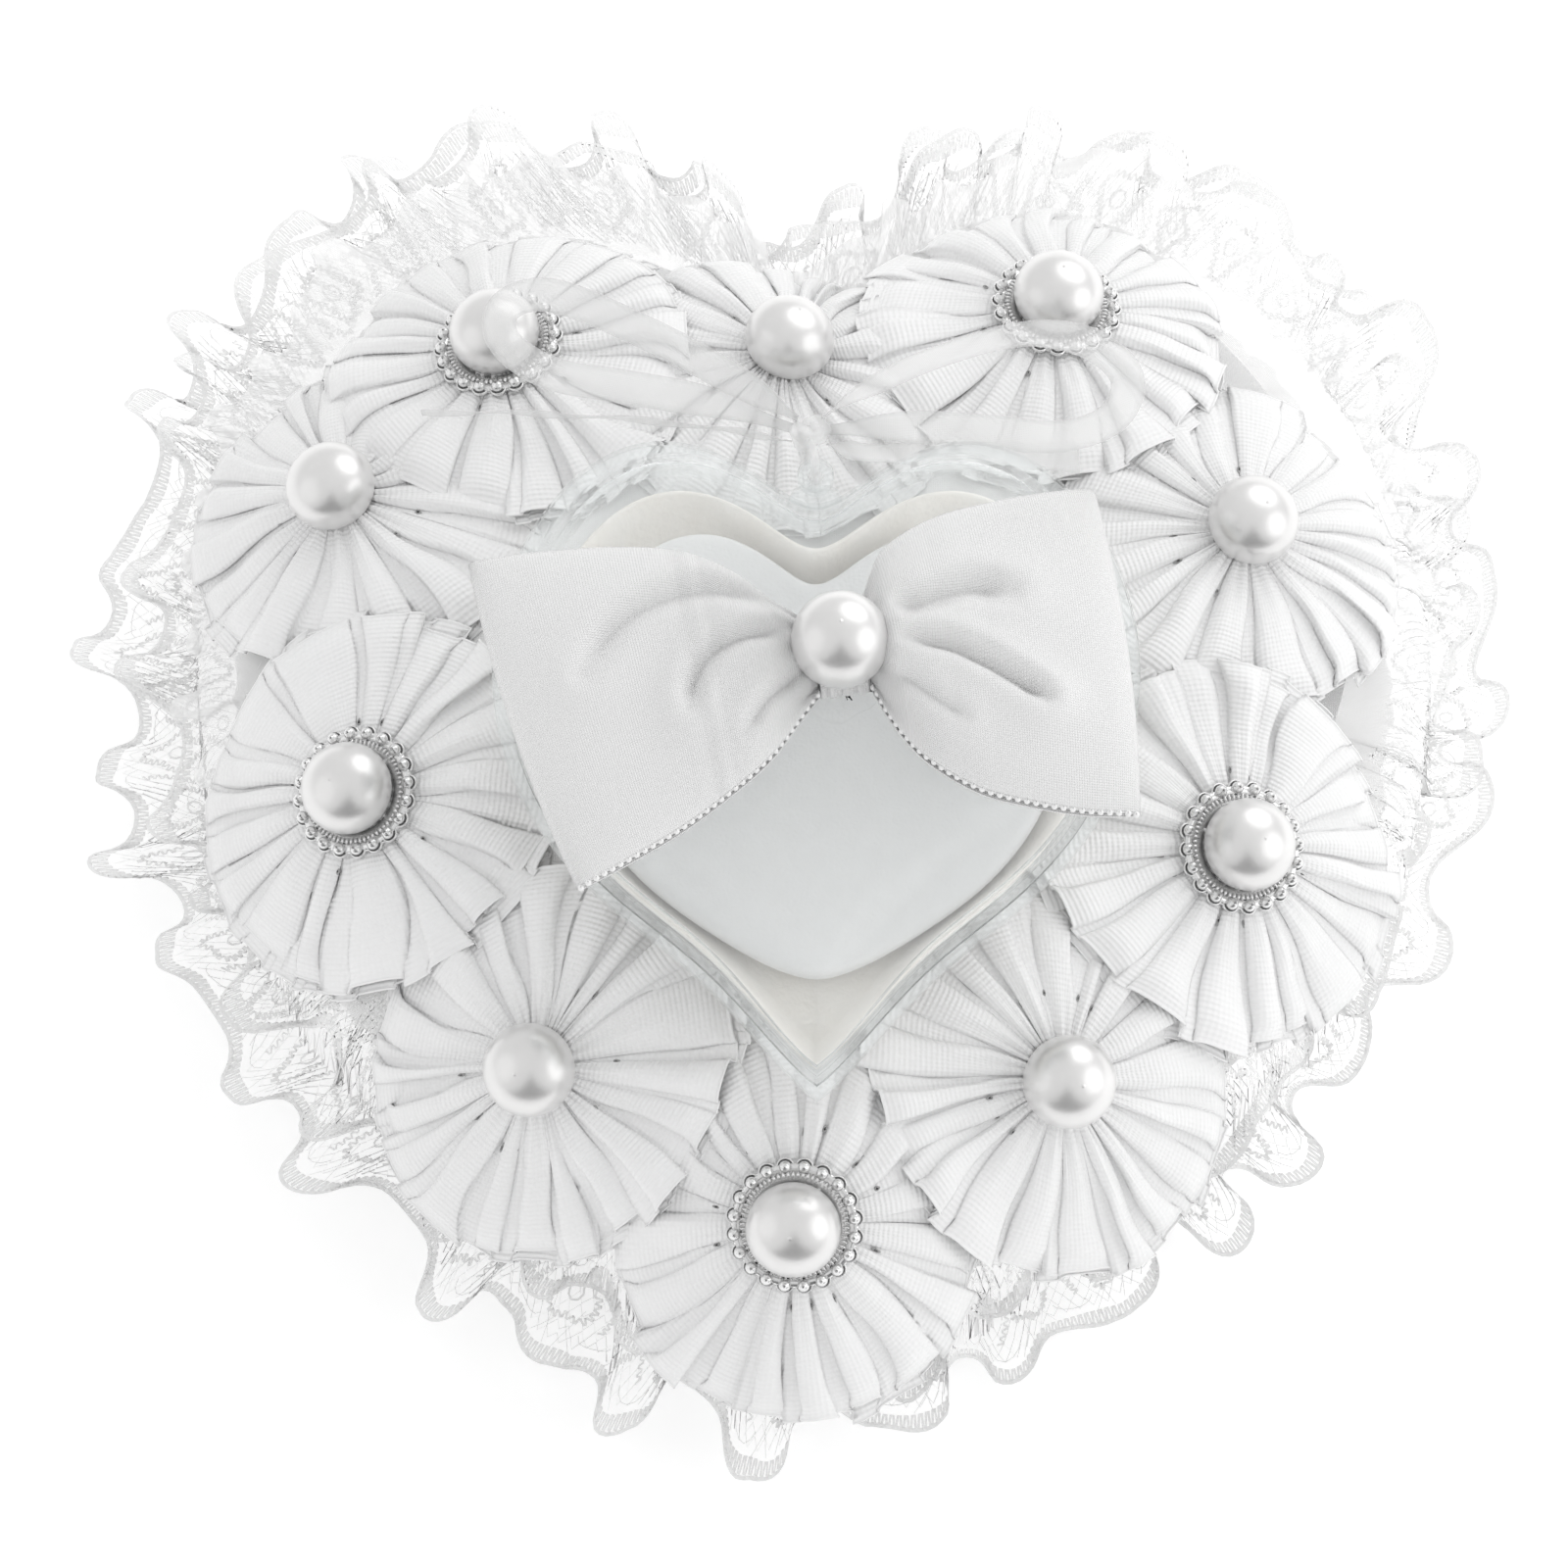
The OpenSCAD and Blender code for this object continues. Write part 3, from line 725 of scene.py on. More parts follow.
class Threads:
    """Flat threads laid on a ruffle, and made into one mesh."""

    def __init__(self, at, width):
        self.at = at
        self.width = width
        self.turn, self.length = edge_length(at, 0.85)
        self.long = self.length[-1]
        self.points, self.faces, self.count = [], [], 0

    def lay(self, along, across, thread, closed=False):
        """One thread through flat places in millimetres: along the strip, and across it from its seam."""
        along, across = np.asarray(along, float), np.asarray(across, float)
        turn = np.interp(along % self.long, self.length, self.turn)
        part = np.clip(across / self.width, 0.0, 1.06)
        line = self.at(turn, part)
        near = self.at(turn, part + 0.02)
        beside = self.at((turn + 0.0002) % 1, part)
        normal = unit(np.cross(unit(near - line), unit(beside - line)))
        if closed:
            way = np.roll(line, -1, 0) - np.roll(line, 1, 0)
        else:
            way = np.gradient(line, axis=0)
        side = unit(np.cross(unit(way), normal))
        half = thread / 2
        ring = np.stack([line - side * half, line + side * half], 1)
        self.points.append(ring.reshape(-1, 3))
        self.faces.extend(grid_faces(len(line), 2, rows_close=closed, start=self.count))
        self.count += 2 * len(line)

    def lay_wave(self, path, pitch, swing, thread, closed=False):
        """A thread that swings from side to side of a path, in steps."""
        path = np.asarray(path, float)
        if closed:
            path = np.vstack([path, path[:1]])
        length = lengths_along(path)
        waves = max(3, round(length[-1] / pitch))
        share = np.array([0.16, 0.36, 0.66, 0.86])
        level = np.array([1.0, 0.9, -1.0, -0.9])
        t = (np.arange(waves)[:, None] + share[None, :]).ravel() / waves * length[-1]
        off = np.tile(level, waves) * swing
        x, y = np.interp(t, length, path[:, 0]), np.interp(t, length, path[:, 1])
        ahead = np.minimum(t + 0.3, length[-1])
        behind = ahead - 0.6
        dx = np.interp(ahead, length, path[:, 0]) - np.interp(behind, length, path[:, 0])
        dy = np.interp(ahead, length, path[:, 1]) - np.interp(behind, length, path[:, 1])
        size = np.maximum(np.hypot(dx, dy), 1e-6)
        self.lay(x - off * dy / size, y + off * dx / size, thread, closed=closed)

    def piece(self, name):
        points = np.concatenate(self.points)
        return mesh_piece(name, points, self.faces, LACE_THREAD, slot="lace")


COMB_PITCH = 1.25
COMB_DEPTH = 3.6
NET_PITCH = 2.6
# How thick each kind of thread is
CORD_THREAD, COMB_THREAD, FLOWER_THREAD, LEAF_THREAD = 0.85, 0.5, 0.5, 0.45
NET_THREAD, ARC_THREAD, BAR_THREAD = 0.24, 0.2, 0.16


def lace_edge(threads, scallops):
    """The lace's worked edge: a cord along the outside and a comb of thread inside it."""
    step = threads.long / scallops

    def edge(x):
        return threads.width - 0.8 + 0.8 * np.abs(np.sin(math.pi * x / step))

    x = np.arange(0, threads.long, 1.5)
    threads.lay(x, edge(x), CORD_THREAD, closed=True)
    waves = round(threads.long / COMB_PITCH)
    share = np.array([0.0, 0.14, 0.5, 0.64])
    level = np.array([0.1, 0.95, 0.95, 0.05])
    x = ((np.arange(waves)[:, None] + share[None, :]) / waves * threads.long).ravel()
    deep = COMB_DEPTH + 0.5 * np.sin(x * 2 * math.pi / step)
    threads.lay(x, edge(x) - 0.3 - np.tile(level, waves) * deep, COMB_THREAD, closed=True)
    return edge


def lace_motif(threads, rng, middle, repeat):
    """One flower with a hole in it, a leaf beside it, and the fine bars that hold them."""
    reach = threads.width - 8.5
    high, tall = reach * 0.5, reach * rng.uniform(0.36, 0.42)
    a = round_angles(30)
    lobes = 1 + 0.24 * np.cos((3 + rng.integers(0, 2)) * a + rng.uniform(0, 6))
    x, y = middle + 0.27 * repeat * lobes * np.cos(a), high + tall * lobes * np.sin(a)
    threads.lay_wave(np.stack([x, y], 1), 1.6, 0.75, FLOWER_THREAD, closed=True)
    hole = round_angles(8)
    threads.lay(middle + 1.7 * np.cos(hole), high + 2.2 * np.sin(hole), FLOWER_THREAD, closed=True)
    gap = middle + repeat / 2
    leaf_y = np.linspace(1.5, reach - 1.5, 7)
    leaf = np.stack([gap + 1.6 * np.sin(leaf_y / reach * 5 + rng.uniform(0, 6)), leaf_y], 1)
    threads.lay_wave(leaf, 1.7, 0.6, LEAF_THREAD)
    bar = np.linspace(0, 1, 4)
    rim = threads.width - 4.2
    for side in (-1, 1):
        foot = high + 0.9 * tall
        shoulder = high + 0.4 * tall
        threads.lay(middle + side * (1.0 + 3.6 * bar), foot + (rim - foot) * bar, BAR_THREAD)
        threads.lay(middle + side * (3.5 - 2.5 * bar), shoulder + (rim - shoulder) * bar, BAR_THREAD)
        threads.lay(middle + side * 0.25 * repeat * (1 + bar), high - tall * 0.2 + 0 * bar, BAR_THREAD)
    arc = np.linspace(0.3, 2.8, 7)
    threads.lay(gap + 4.2 * np.cos(arc), reach - 2.2 + 4.6 * np.sin(arc), ARC_THREAD)


def lace_net(threads, rng):
    """The net behind the flowers: fine threads that zigzag along the strip and meet at their turns."""
    steps = round(threads.long / NET_PITCH)
    x = np.arange(2 * steps) / (2 * steps) * threads.long
    rows = int((threads.width - COMB_DEPTH - 2) / NET_PITCH)
    for row in range(rows):
        side = np.where(np.arange(2 * steps) % 2 == 0, 0.5, -0.5) * (-1) ** row
        y = 1.5 + (row + 0.5 + 0.92 * side) * NET_PITCH + rng.normal(0, 0.18, 2 * steps)
        threads.lay(x, y, NET_THREAD, closed=True)


def lace(name, at, width, seed):
    """A tier of lace: its worked edge, and the flowers, leaves and bars inside it."""
    threads = Threads(at, width)
    rng = np.random.default_rng(seed)
    lace_edge(threads, round(threads.long / 12))
    lace_net(threads, rng)
    motifs = round(threads.long / 17)
    repeat = threads.long / motifs
    for k in range(motifs):
        lace_motif(threads, rng, (k + 0.5) * repeat, repeat)
    piece = threads.piece(name)
    return piece


def cloth_strip(name, at, width, material, slot, columns=3000, rows=14):
    """A ruffle of plain cloth."""
    turn = np.linspace(0, 1, columns, endpoint=False)
    part = np.linspace(0, 1, rows)
    t, p = np.meshgrid(turn, part, indexing="ij")
    points = at(t, p)
    table_turn, length = edge_length(at, 0.6)
    along = np.interp(t, table_turn, length)
    weave = np.stack([along, p * width, 0 * p], -1)
    piece = mesh_piece(name, points.reshape(-1, 3), grid_faces(columns, rows, rows_close=True),
                       material, slot=slot, weave=weave.reshape(-1, 3))
    cut = float(np.linalg.norm(np.diff(points, axis=1), axis=2).sum(1).mean())
    return piece


LOWER_WIDTH, UPPER_WIDTH, FRILL_WIDTH = 28.0, 26.0, 26.0
LOWER = ruffle(3, 36, 15, 7, 4.0, 4.6, 1.0, 3.6, sag=2, shift=-3.5)
UPPER = ruffle(11, 34, 19, 20, 12, 4.2, 1.0, 4.0, sag=-2, shift=-2.5)
FRILL = ruffle(7, 52, 46, 25, 20, 2.0, 0.9, 2.2, seam_share=0.84, sag=-1, shift=-1)
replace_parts(lace("lace_lower", LOWER, LOWER_WIDTH, 21), "lace_ruffle_lower")
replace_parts(lace("lace_upper", UPPER, UPPER_WIDTH, 22), "lace_ruffle_upper")
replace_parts(cloth_strip("frill", FRILL, FRILL_WIDTH, FRILL_NET, "heading_net"), "heading_ruffle")

# ---- Rosettes ----

RIBBON_WIDTH = 25.0
HOLE_R = 4.6
RIBBON_REACH = 26.4
# How much shorter a rosette looks on its outer side, and how much longer towards the box
OUTER_DROP = 0.06
INNER_REACH = 0.1
# Past this share of the cushion the stiff pleats stand out over its edge, and fall this far per share
BED_SHARE = 0.9
BED_FALL = 80.0
# Which rosettes lie over their neighbours
RANKS = (1, 2, 1, 2, 1, 0, 1, 2, 1, 2)
# One pleat across: place in its own width, height in its own fold, and how far its recess opens there
PLEAT = (
    (0.02, 0.55, 0), (0.0, 0.70, 0), (0.05, 0.84, 0), (0.14, 0.96, 0), (0.25, 1.06, 0),
    (0.36, 1.13, 0), (0.47, 1.16, 0), (0.58, 1.13, 0.1), (0.69, 1.05, 0.4), (0.79, 0.94, 0.75),
    (0.86, 0.82, 1), (0.88, 0.7, 1), (0.86, 0.6, 1), (0.84, 0.52, 1), (0.90, 0.48, 0.8),
    (0.97, 0.48, 0.4), (1.03, 0.52, 0),
)
# The second turn shows only near its rim, so its inner columns are left out
UNDER_FROM = 9
# The radius of the cord along each turn's edge
EDGE_R = 0.26


def rosette_frame(i, turn=0):
    """What is random about one turn of a rosette's ribbon: its pleats' angles in degrees, and shapes."""
    rng = np.random.default_rng(100 + i + 50 * turn)
    pleats = int(rng.integers(17, 21))
    pitch = rng.uniform(0.6, 1.4, pleats)
    pitch = pitch / pitch.sum() * 360
    start = np.concatenate([[0], np.cumsum(pitch)[:-1]]) + rng.uniform(0, 360)
    shape = {
        "recess": rng.uniform(0.04, 0.42, pleats),
        "tall": rng.uniform(2.2, 3.9, pleats),
        "longer": rng.normal(0, 0.7, pleats),
        "bend": rng.normal(0, 0.11, pleats),
        "curl": rng.normal(0, 0.07, pleats),
        "lift": rng.normal(0, 0.8, pleats),
        "ripple": rng.uniform(0, 6, pleats),
    }
    return start, pitch, shape


def lay_on_cushion(i, angle, r, h):
    """Points round rosette i, at angles in degrees, r out from its middle and h square off the cushion."""
    spot = np.array(SPOTS[i], float)
    outward = math.degrees(math.atan2(*spot))
    facing = np.cos(np.radians(angle - outward))
    squeeze = 1 - OUTER_DROP * np.maximum(0, facing) + INNER_REACH * np.maximum(0, -facing)
    x = spot[0] + r * squeeze * np.sin(np.radians(angle))
    y = spot[1] + r * squeeze * np.cos(np.radians(angle))
    for j in ((i - 1) % 10, (i + 1) % 10):
        way = np.array(SPOTS[j], float) - spot
        apart = np.hypot(*way)
        over = ((x - spot[0]) * way[0] + (y - spot[1]) * way[1]) / apart - apart / 2
        if RANKS[i] > RANKS[j]:
            h = h + 3.2 * smooth(-10, 5, over)
        else:
            h = h * (1 - 0.5 * smooth(-6, 4, over))
    share = share_at(x, y)
    bed = crown_at(np.minimum(share, BED_SHARE)) - BED_FALL * np.maximum(0, share - BED_SHARE)
    steady = np.minimum(1, BED_SHARE / np.maximum(share, 0.01))
    return np.stack([x, y, bed], -1) + slope_normal(x * steady, y * steady) * np.asarray(h)[..., None]


def rosette_points(i, turn=0):
    """A grid of points round one turn of ribbon and out across it. The second turn lies lower."""
    start, pitch, shape = rosette_frame(i, turn)
    part = np.concatenate([np.linspace(0, 0.9, 17), [0.94, 0.97, 0.99, 1.0]])
    pleat = np.array(PLEAT)
    k, s = np.meshgrid(np.arange(len(start)), np.arange(len(pleat)), indexing="ij")
    k, s = k.ravel()[:, None], s.ravel()[:, None]
    t = part[None, :]
    after = (k + 1) % len(start)
    place, high, opening = (pleat[s, c] for c in range(3))
    gap = shape["recess"][k] * (0.25 + 0.75 * smooth(0.15, 0.6, t) * (1 - 0.5 * smooth(0.9, 1, t)))
    bend = shape["bend"][k] * (1 - place) + shape["bend"][after] * place
    curl = shape["curl"][k] * (1 - place) + shape["curl"][after] * place
    share = place - gap * opening + bend * np.sin(math.pi * t) + curl * np.sin(2 * math.pi * t)
    angle = start[k] + pitch[k] * share
    local = np.clip((place - 0.45) * np.radians(pitch[k]), -0.25, 0.25)
    out = RIBBON_REACH + HOLE_R + shape["longer"][k] + 0.8 * (1 - np.minimum(high, 1)) - 1.2
    out = out / np.cos(local)
    r = HOLE_R + (out - HOLE_R) * t
    fold = shape["tall"][k] * (0.4 + 0.6 * smooth(0, 0.6, t)) * (1 - 0.2 * smooth(0.9, 1, t))
    if turn:
        r, fold = r + 1.3, 0.45 * fold
    gathers = 0.38 * (1 - t) ** 1.5 * np.sin(4 * math.pi * place + shape["ripple"][k] + 4 * t)
    sway = 0.35 * np.sin(2 * math.pi * (t * 1.2 + shape["ripple"][k])) * smooth(0.3, 0.7, t) * (high - 0.4)
    h = 1.0 + 4.4 * (1 - t) ** 1.3 + fold * high + gathers + sway
    h = h + shape["lift"][k] * t**3 - 1.0 * smooth(0.82, 1, t) * np.minimum(high, 1)
    if turn:
        h = h * (1 - 0.35 * t) - 0.5
    points = lay_on_cushion(i, angle, r, np.maximum(h, 0.9))
    along = np.radians(start[k] + pitch[k] * share) * 30 + 0 * t
    weave = np.stack([along, RIBBON_WIDTH * t + 0 * along, high + 0 * along], -1)
    return points, weave


def tube_along(line, radius, sides=5):
    """A closed cord's points and faces along a line."""
    way = unit(np.roll(line, -1, 0) - np.roll(line, 1, 0))
    side = unit(np.cross(way, np.array([0.0, 0.0, 1.0])) + 1e-6)
    other = np.cross(way, side)
    angle = -round_angles(sides)
    return hoop(line[:, None] + radius * (
        np.cos(angle)[None, :, None] * side[:, None] + np.sin(angle)[None, :, None] * other[:, None]))


def make_rosette(i):
    """A ribbon pleated into a ring twice round, with its woven edges."""
    name = f"rosette_{i + 1:02d}"
    for turn, layer in enumerate(("_ribbon", "_under")):
        points, weave = rosette_points(i, turn)
        if turn:
            points, weave = points[:, UNDER_FROM:], weave[:, UNDER_FROM:]
        rows, columns = points.shape[:2]
        faces = grid_faces(rows, columns, rows_close=True)
        piece = mesh_piece(name + layer, points.reshape(-1, 3), faces, ROSETTE_SATIN,
                           slot="rosette_satin", weave=weave.reshape(-1, 3))
        thicken(piece, 0.3)
        edge = points[:, -1]
        long = float(lengths_along(np.vstack([edge, edge[:1]]))[-1])
        mesh_piece(name + layer + "_edge", *tube_along(edge, EDGE_R), ROSETTE_SATIN, slot="rosette_satin")
        if turn == 0:
            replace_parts(piece, name)


STITCH_R = 12.2
STITCH_L = 1.5
STITCH_W = 0.62


def make_stitches_and_hole_shade(i):
    """The gathering thread's stitches, sunk between the pleats in a ring round the pearl: dark dashes that
    are partly the thread and partly painted shade of its needle holes.
    """
    start, pitch, shape = rosette_frame(i)
    rng = np.random.default_rng(300 + i)
    outline = round_angles(10)
    parts = []
    for k in range(len(start)):
        if rng.uniform() < 0.22:
            continue
        angle = start[k] + pitch[k] * rng.uniform(-0.1, 0.12)
        r = STITCH_R + rng.normal(0, 0.5)
        long, wide = STITCH_L * rng.uniform(0.7, 1.2), STITCH_W * rng.uniform(0.8, 1.2)
        rings = []
        for grow, up in ((1.0, 0.0), (0.85, 0.22), (0.4, 0.3)):
            out = r + grow * long / 2 * np.cos(outline)
            taper = 1 - 0.45 * np.cos(outline)
            side = np.degrees(grow * wide / 2 * np.sin(outline) * taper / r)
            high = 3.5 + 0.55 * shape["tall"][k] + up
            rings.append(lay_on_cushion(i, angle + side, out, np.full(10, high)))
        parts.append(loft(rings))
    mesh_piece(f"rosette_{i + 1:02d}_stitches", *joined(parts), THREAD_AND_HOLE_SHADE)


for spot in range(10):
    make_rosette(spot)
    make_stitches_and_hole_shade(spot)

# ---- Pearls ----

PEARL_D, PEARL_H = 16.0, 11.0
PEARL_WAIST = 4.0
PEARL_LIFT = 6.3
COLLAR_D = 20.5
COLLAR_BEADS = 20
BEAD_D = 2.2
COLLAR_TEETH = 66


def on_spot(i, lift):
    """Moves points from a rosette's own place, square to the slope, to the row frame."""
    x, y = (float(v) for v in SPOTS[i])
    fall_x, fall_y = fall_at(x, y, PEARL_STEP)
    tilt = math.atan(math.hypot(fall_x, fall_y))
    turn = math.atan2(fall_y, fall_x)
    matrix = (
        Matrix.Translation((x, y, float(cushion_top(x, y))))
        @ Matrix.Rotation(turn, 4, "Z")
        @ Matrix.Rotation(tilt, 4, "Y")
        @ Matrix.Translation((0, 0, lift))
    )
    turned = np.array(matrix)
    return lambda points: np.asarray(points) @ turned[:3, :3].T + turned[:3, 3]


def flat_backed_pearl(diameter, height, waist):
    """A button pearl, widest at its waist, with its flat back at z 0."""
    angle = -round_angles(72)
    rise = height - waist
    low = -math.asin(min(1, waist / (rise + 0.01)) * 0.98)
    foot = diameter / 2 * math.cos(low)
    rings = [circle(foot * 0.3, 0.0, angle), circle(foot - 0.4, 0.0, angle)]
    for polar in np.linspace(low, math.pi / 2 - 0.004, 40):
        z = waist + rise * math.sin(polar)
        rings.append(circle(diameter / 2 * math.cos(polar), max(z, 0.05), angle))
    return loft(rings)


def make_pearl(i):
    points, faces = flat_backed_pearl(PEARL_D, PEARL_H, PEARL_WAIST)
    name = f"rosette_pearl_{i + 1:02d}"
    piece = mesh_piece(name + "_dome", on_spot(i, PEARL_LIFT)(points), faces, PEARL, slot="pearl")
    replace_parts(piece, name)


def ball(middle, radius, rings=9, sides=14):
    polar = np.linspace(0.15, math.pi - 0.15, rings)[:, None]
    angle = round_angles(sides)[None, :]
    x = middle[0] + radius * np.sin(polar) * np.cos(angle)
    y = middle[1] + radius * np.sin(polar) * np.sin(angle)
    z = middle[2] + radius * np.cos(polar) + 0 * angle
    return loft(list(np.stack([x, y, z], -1)))


def make_collar(i):
    """A moulded collar: beads in cups round its rim, and fine teeth round its inside."""
    profile = (
        (7.2, 0.0), (7.2, 0.3), (8.2, 0.45), (9.1, 0.5), (9.5, 0.95), (10.4, 0.9), (10.9, 0.5), (10.8, 0.0)
    )
    cup = ((1.2, 0.1), (1.5, 0.1), (1.55, 0.75), (1.4, 0.9), (1.2, 0.7))
    parts = [hoop([circle(r, z, round_angles(96)) for r, z in profile])]
    for k in range(COLLAR_BEADS):
        a = 2 * math.pi * k / COLLAR_BEADS
        x, y = COLLAR_D / 2 * math.cos(a), COLLAR_D / 2 * math.sin(a)
        parts.append(ball((x, y, 1.25), BEAD_D / 2))
        parts.append(loft([circle(r, z, round_angles(14), x, y) for r, z in cup]))
    for k in range(COLLAR_TEETH):
        a = 2 * math.pi * k / COLLAR_TEETH
        along, across = np.array([math.cos(a), math.sin(a), 0]), np.array([-math.sin(a), math.cos(a), 0])
        ends = []
        for r, tall, wide in ((8.05, 0.75, 0.15), (8.4, 1.15, 0.2), (9.1, 1.2, 0.22), (9.35, 0.9, 0.16)):
            corners = ((-wide, 0.3), (-wide, tall), (wide, tall), (wide, 0.3))
            ends.append(np.array([along * r + across * aside + [0, 0, z] for aside, z in corners]))
        parts.append(loft(ends))
    points, faces = joined(parts)
    name = f"pearl_collar_{i + 1:02d}"
    points = on_spot(i, PEARL_LIFT + 0.1)(points)
    piece = mesh_piece(name + "_moulding", points, faces, BEAD, slot="pearl_collar")
    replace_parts(piece, name)


for spot in range(10):
    make_pearl(spot)
    if spot % 2:
        make_collar(spot)

# ---- Ring box ----

PARTING_Z = 82.0
BOX_DEPTH = 21.4
BOX_WALL = 1.4
FLANGE_T = 1.6
RIM_SHARE = 0.955
LID_GAP = 0.1
LIP_H = 1.2
LIP_OUT, LIP_IN = 2.15, 3.05
BASE_Z = PARTING_Z - BOX_DEPTH
LID_TOP_Z = PARTING_Z + BOX_DEPTH
# A half shell from the middle of its floor to its rim: share of the outline, and share of the depth
SHELL = (
    (0.06, 1), (0.45, 0.985), (0.62, 0.935), (0.76, 0.8), (0.86, 0.56), (0.925, 0.28), (RIM_SHARE, 0.09)
)
TAB_Y, TAB_R, TAB_HOLE_D, WEB_W = 33.4, 3.1, 2.7, 9.0


def box_ring(share, inset, z):
    return heart_ring(BOX, share, inset, z, BOX_Y)


def shell_rings(side, inset):
    """A half shell's rings from the middle of its floor to its rim, along a smooth profile."""
    profile = curve_through([(share * 100, depth * 100, 0) for share, depth in SHELL], 5) / 100
    rings = []
    for k, (share, depth, _) in enumerate(profile):
        z = PARTING_Z + side * (BOX_DEPTH * depth - inset)
        rings.append(box_ring(share, inset * smooth(0, 6, k), z))
    return rings


def ring_tab(z):
    """A ring with a hole behind the cleft, on a web to the rim, with rounded edges."""
    hole = TAB_HOLE_D / 2
    profile = ((hole, 0.2), (hole, FLANGE_T - 0.2), (hole + 0.25, FLANGE_T), (TAB_R - 0.3, FLANGE_T),
               (TAB_R, FLANGE_T - 0.3), (TAB_R, 0.3), (TAB_R - 0.3, 0), (hole + 0.25, 0))
    ring = hoop([circle(r, z + up, round_angles(64), 0, TAB_Y) for r, up in profile])
    half = WEB_W / 2
    outline = np.array([(0, 26.9), (2.2, 27.7), (half, 28.9), (half - 0.6, 30.4), (2.4, 31.2),
                        (-2.4, 31.2), (0.6 - half, 30.4), (-half, 28.9), (-2.2, 27.7)])
    flat = [np.column_stack([outline, np.full(len(outline), z + up)]) for up in (0.05, FLANGE_T - 0.05)]
    return [ring, loft(flat)]


def clear_piece(name, parts, body, node):
    points, faces = joined(parts)
    piece = mesh_piece(name, points, faces, CLEAR, body=body, slot="clear_plastic")
    crease_edges(piece)
    piece.visible_shadow = False
    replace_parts(piece, node)


def make_base():
    under, inside = shell_rings(-1, 0), shell_rings(-1, BOX_WALL)
    low = PARTING_Z - FLANGE_T
    rings = under + [
        box_ring(RIM_SHARE, 0, low), box_ring(0.994, 0, low), box_ring(1, 0, low + 0.35),
        box_ring(1, 0, PARTING_Z - 0.3), box_ring(0.995, 0, PARTING_Z),
        box_ring(RIM_SHARE, BOX_WALL, PARTING_Z),
    ] + inside[::-1]
    clear_piece("box_base_shell", [loft(rings), *ring_tab(low)], "root", "box_base")


def make_lid():
    seat = PARTING_Z + LID_GAP
    inside, over = shell_rings(1, BOX_WALL)[:-3], shell_rings(1, 0)[:-2]
    rings = inside + [
        box_ring(RIM_SHARE, LIP_IN, PARTING_Z + 1), box_ring(RIM_SHARE, LIP_IN, PARTING_Z - LIP_H),
        box_ring(RIM_SHARE, LIP_OUT, PARTING_Z - LIP_H), box_ring(RIM_SHARE, LIP_OUT, seat),
        box_ring(0.995, 0, seat), box_ring(1, 0, seat + 0.3), box_ring(1, 0, seat + FLANGE_T - 0.3),
        box_ring(0.994, 0, seat + FLANGE_T), box_ring(RIM_SHARE, 0, seat + FLANGE_T),
    ] + over[::-1]
    clear_piece("box_lid_shell", [loft(rings), *ring_tab(seat)], "lid", "box_lid")


make_base()
make_lid()

LINING_Z, LINING_FLOOR_Z, LINING_TOP_Z = BASE_Z + BOX_WALL + 0.6, 70.5, 75.8
LINING_T = 0.9
FOAM_Z, FOAM_TOP_Z = 70.7, 77.0
SLIT_L, SLIT_W, SLIT_DEEP = 40.0, 1.2, 5.0
SLIT_Y = -4.0


def make_lining():
    """A plush lining, moulded to the floor of the box, with a lip that stands up along its wall."""
    inner = BOX_WALL + LINING_T
    steps = (
        (0.4, BOX_WALL, LINING_Z), (0.58, BOX_WALL, LINING_Z + 1.2), (0.75, BOX_WALL, LINING_FLOOR_Z - 2.2),
        (0.83, BOX_WALL, LINING_FLOOR_Z + 0.7), (0.885, BOX_WALL, LINING_TOP_Z - 1.5),
        (0.908, BOX_WALL, LINING_TOP_Z + 0.7), (0.908, BOX_WALL + LINING_T / 2, LINING_TOP_Z + 1.0),
        (0.908, inner, LINING_TOP_Z + 0.7), (0.885, inner, LINING_TOP_Z - 1.5),
        (0.835, inner, LINING_FLOOR_Z + 1.1), (0.82, inner, LINING_FLOOR_Z), (0.3, inner, LINING_FLOOR_Z),
    )
    rings = [box_ring(share, inset, z) for share, inset, z in steps]
    piece = mesh_piece("box_lining_plush", *loft(rings), LINING, slot="lining")
    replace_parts(piece, "box_lining")


def make_foam():
    """The ring foam, with soft edges and a slit for the rings."""
    steps = (
        (1, 2.4, FOAM_Z), (1, 0, FOAM_TOP_Z - 2.5), (1, 0, FOAM_TOP_Z - 1.6), (1, 0.35, FOAM_TOP_Z - 0.8),
        (1, 1.1, FOAM_TOP_Z - 0.2), (1, 2.0, FOAM_TOP_Z), (0.97, 2.0, FOAM_TOP_Z),
    )
    rings = [heart_ring(FOAM, grow, inset, z, BOX_Y) for grow, inset, z in steps]
    piece = mesh_piece("ring_foam_pad", *loft(rings), FOAM_RUBBER, slot="foam")
    half, middle = SLIT_L / 2, SLIT_Y + SLIT_W / 2
    ends = []
    for narrow, z in ((0.3, FOAM_TOP_Z - SLIT_DEEP), (0.0, FOAM_TOP_Z + 1)):
        wide = SLIT_W / 2 - narrow
        ends.append(np.array([(side * half, middle + part * wide, z)
                              for side, part in ((-1, -1), (1, -1), (1, 1), (-1, 1))]))
    cutter = mesh_piece("slit_cutter", *loft(ends), FOAM_RUBBER)
    cut = piece.modifiers.new("slit", "BOOLEAN")
    cut.object = cutter
    cut.solver = "EXACT"
    apply_modifiers(piece)
    bpy.data.objects.remove(cutter)
    crease_edges(piece)
    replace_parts(piece, "ring_foam")


make_lining()
make_foam()


